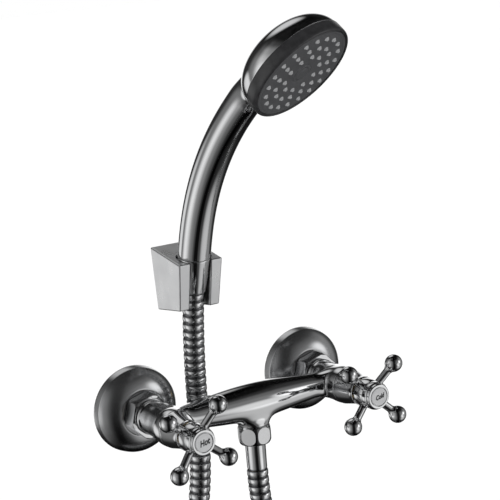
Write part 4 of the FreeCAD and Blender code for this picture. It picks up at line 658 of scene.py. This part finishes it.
def bracket():
    """Wedge block with its conical socket and front slot, its edges rounded last."""
    bm = bmesh.new()
    spread = (HALF_TOP - HALF_LOW) / (BACK_TOP[1] - BACK_LOW[1])
    for corner in bmesh.ops.create_cube(bm, size=1.0)["verts"]:
        low, top = (BACK_LOW, BACK_TOP) if corner.co.y > 0 else (FRONT_LOW, FRONT_TOP)
        station, height = top if corner.co.z > 0 else low
        half = HALF_LOW + spread * (height - BACK_LOW[1])
        corner.co = (BRACKET_X + math.copysign(half, corner.co.x), -station, height)
    block = piece("bracket_block", bm, HERE, "mixer", SATIN, ["bracket_body"], crisp=0)
    socket = spun(SOCKET)
    slot = bmesh.ops.create_cube(socket, size=1.0)["verts"]
    bmesh.ops.scale(socket, vec=SLOT_SIZE, verts=slot)
    bmesh.ops.translate(socket, vec=SLOT_MIDDLE, verts=slot)
    tool = piece("socket_tool", socket, CONE, "mixer", SATIN, crisp=0)
    cut = block.modifiers.new("socket", "BOOLEAN")
    cut.operation = "DIFFERENCE"
    cut.solver = "EXACT"
    cut.use_self = True
    cut.object = tool
    edge = block.modifiers.new("edges", "BEVEL")
    edge.width = 0.0011
    edge.segments = 3
    edge.limit_method = "ANGLE"
    edge.angle_limit = math.radians(40)
    edge.use_clamp_overlap = False
    edge.harden_normals = True
    bpy.context.view_layer.update()
    shaped = bpy.data.meshes.new_from_object(block.evaluated_get(bpy.context.evaluated_depsgraph_get()))
    block.modifiers.clear()
    block.data = shaped
    bpy.data.objects.remove(tool)


# Studio

def heading(azimuth, elevation):
    """Unit direction, with azimuths counted from the front towards +X."""
    turn, rise = math.radians(azimuth), math.radians(elevation)
    return Vector((math.sin(turn) * math.cos(rise), -math.cos(turn) * math.cos(rise), math.sin(rise)))


def ramp(nodes, stops):
    """Grey ramp through (place, level) stops."""
    made = nodes.new("ShaderNodeValToRGB")
    made.color_ramp.interpolation = "EASE"
    while len(made.color_ramp.elements) < len(stops):
        made.color_ramp.elements.new(0.5)
    for element, (place, level) in zip(made.color_ramp.elements, stops):
        element.position = place
        element.color = (level, level, level, 1)
    return made


def combined(tree, operation, first, second):
    """Outcome of a math node on two outputs."""
    made = tree.nodes.new("ShaderNodeMath")
    made.operation = operation
    tree.links.new(first, made.inputs[0])
    tree.links.new(second, made.inputs[1])
    return made.outputs[0]


def softbox(tree, way, aim, spread, level):
    """Round patch of light that fades from its middle to its edge."""
    towards = tree.nodes.new("ShaderNodeVectorMath")
    towards.operation = "DOT_PRODUCT"
    towards.inputs[1].default_value = aim
    tree.links.new(way, towards.inputs[0])
    fade = tree.nodes.new("ShaderNodeMapRange")
    fade.interpolation_type = "SMOOTHERSTEP"
    fade.inputs["From Min"].default_value = math.cos(math.radians(spread))
    fade.inputs["From Max"].default_value = 1.0
    fade.inputs["To Max"].default_value = level
    tree.links.new(towards.outputs["Value"], fade.inputs["Value"])
    return fade.outputs["Result"]


# What gloss sees: brightness by azimuth and by elevation, and softboxes as (azimuth, elevation, spread,
# brightness)
AROUND = ((-180, 0.02), (-160, 0.03), (-132, 0.2), (-106, 0.6), (-84, 0.42), (-60, 0.25), (-44, 0.08),
          (-36, 0.008), (-14, 0.008), (-4, 0.1), (16, 0.2), (52, 0.26), (84, 0.32), (104, 0.05),
          (116, 0.015), (180, 0.02))
UP_AND_DOWN = ((-85, 0.01), (-70, 0.1), (-55, 0.32), (-40, 0.65), (-20, 1.0), (18, 1.0), (34, 0.6),
               (48, 0.12), (60, 0.01))
SOFTBOXES = ((50, 10, 19, 1.2), (29, -12, 25, 0.6), (42, -40, 28, 0.42), (150, 0, 30, 1.2),
             (172, 50, 24, 0.7), (-97, -10, 30, 0.35), (-152, -14, 20, 0.75))


def studio():
    """Plain white surroundings; in gloss, softboxes and a white wall behind among black screens."""
    world = bpy.data.worlds.new("studio")
    bpy.context.scene.world = world
    world.use_nodes = True
    tree = world.node_tree
    nodes, links = tree.nodes, tree.links
    nodes.clear()
    way = nodes.new("ShaderNodeTexCoord").outputs["Generated"]
    split = nodes.new("ShaderNodeSeparateXYZ")
    links.new(way, split.inputs[0])
    front = nodes.new("ShaderNodeMath")
    front.operation = "MULTIPLY"
    front.inputs[1].default_value = -1.0
    links.new(split.outputs["Y"], front.inputs[0])
    azimuth = combined(tree, "ARCTAN2", split.outputs["X"], front.outputs[0])
    share = nodes.new("ShaderNodeMapRange")
    share.inputs["From Min"].default_value = -math.pi
    share.inputs["From Max"].default_value = math.pi
    links.new(azimuth, share.inputs["Value"])
    level = ramp(nodes, [(at / 360 + 0.5, bright) for at, bright in AROUND])
    links.new(share.outputs["Result"], level.inputs["Fac"])
    rise = nodes.new("ShaderNodeMapRange")
    rise.inputs["From Min"].default_value = -1.0
    rise.inputs["From Max"].default_value = 1.0
    links.new(split.outputs["Z"], rise.inputs["Value"])
    height = ramp(nodes, [(math.sin(math.radians(at)) / 2 + 0.5, bright) for at, bright in UP_AND_DOWN])
    links.new(rise.outputs["Result"], height.inputs["Fac"])
    whole = combined(tree, "MULTIPLY", level.outputs["Color"], height.outputs["Color"])
    for azimuth_aim, rise_aim, spread, bright in SOFTBOXES:
        patch = softbox(tree, way, heading(azimuth_aim, rise_aim), spread, bright)
        whole = combined(tree, "ADD", whole, patch)
    mirrored = nodes.new("ShaderNodeBackground")
    links.new(whole, mirrored.inputs["Color"])
    plain = nodes.new("ShaderNodeBackground")
    plain.inputs["Color"].default_value = (1, 1, 1, 1)
    path = nodes.new("ShaderNodeLightPath")
    pick = nodes.new("ShaderNodeMixShader")
    links.new(path.outputs["Is Glossy Ray"], pick.inputs["Fac"])
    links.new(plain.outputs[0], pick.inputs[1])
    links.new(mirrored.outputs[0], pick.inputs[2])
    out = nodes.new("ShaderNodeOutputWorld")
    links.new(pick.outputs[0], out.inputs["Surface"])


FLOOR_Z = -0.352
FLOOR_SIZE = 12.0


def floor():
    """Pale floor under the coil, which keeps the shadow and lets gloss see the studio below it."""
    bm = bmesh.new()
    bmesh.ops.create_grid(bm, x_segments=1, y_segments=1, size=FLOOR_SIZE)
    bmesh.ops.translate(bm, vec=(0, 0, FLOOR_Z), verts=bm.verts)
    mesh = bpy.data.meshes.new("floor")
    bm.to_mesh(mesh)
    bm.free()
    pale = bpy.data.materials.new("pale_floor")
    pale.use_nodes = True
    nodes, links = pale.node_tree.nodes, pale.node_tree.links
    shader = nodes["Principled BSDF"]
    shader.inputs["Base Color"].default_value = (0.97, 0.97, 0.97, 1)
    shader.inputs["Roughness"].default_value = 0.9
    shader.inputs["Specular IOR Level"].default_value = 0.1
    glow = nodes.new("ShaderNodeEmission")
    glow.inputs["Strength"].default_value = 0.08
    both = nodes.new("ShaderNodeAddShader")
    links.new(shader.outputs[0], both.inputs[0])
    links.new(glow.outputs[0], both.inputs[1])
    path = nodes.new("ShaderNodeLightPath")
    clear = nodes.new("ShaderNodeBsdfTransparent")
    pick = nodes.new("ShaderNodeMixShader")
    links.new(path.outputs["Is Glossy Ray"], pick.inputs["Fac"])
    links.new(both.outputs[0], pick.inputs[1])
    links.new(clear.outputs[0], pick.inputs[2])
    links.new(pick.outputs[0], nodes["Material Output"].inputs["Surface"])
    mesh.materials.append(pale)
    made = bpy.data.objects.new("floor", mesh)
    bpy.context.scene.collection.objects.link(made)


CAMERA_EYE = Vector((-0.5686, -1.0732, 0.3605))
CAMERA_TARGET = Vector((0.0020, -0.0600, 0.1001))
CAMERA_ROLL = math.radians(-4.73)


def camera():
    """The photograph's view of the mixer, drawn back to hold the handset too."""
    data = bpy.data.cameras.new("camera")
    data.sensor_width = 36.0
    data.lens = 116.0
    data.shift_y = 0.048
    made = bpy.data.objects.new("camera", data)
    look = (CAMERA_TARGET - CAMERA_EYE).to_track_quat("-Z", "Y").to_matrix().to_4x4()
    made.matrix_world = Matrix.Translation(CAMERA_EYE) @ look @ Matrix.Rotation(CAMERA_ROLL, 4, "Z")
    bpy.context.scene.collection.objects.link(made)
    bpy.context.scene.camera = made


for part in frame["record"]["subparts"]:
    for slot in frame["nodes"][part["node"]].material_slots:
        slot.material = BY_SLOT[part["material_slot"]]

casting()
for name, side, turn in SIDES:
    escutcheon(name, side)
    union_nut(name, side)
    sleeve(name, side)
    cross_handle(name, side, turn)
    cap(name, side)
    index(name, side, name.capitalize())
hose_fittings()
hose()
handset_shell()
spray_face()
cone_nut()
bracket()
studio()
floor()
camera()
bpy.context.scene.view_settings.view_transform = "Standard"
bpy.context.view_layer.update()
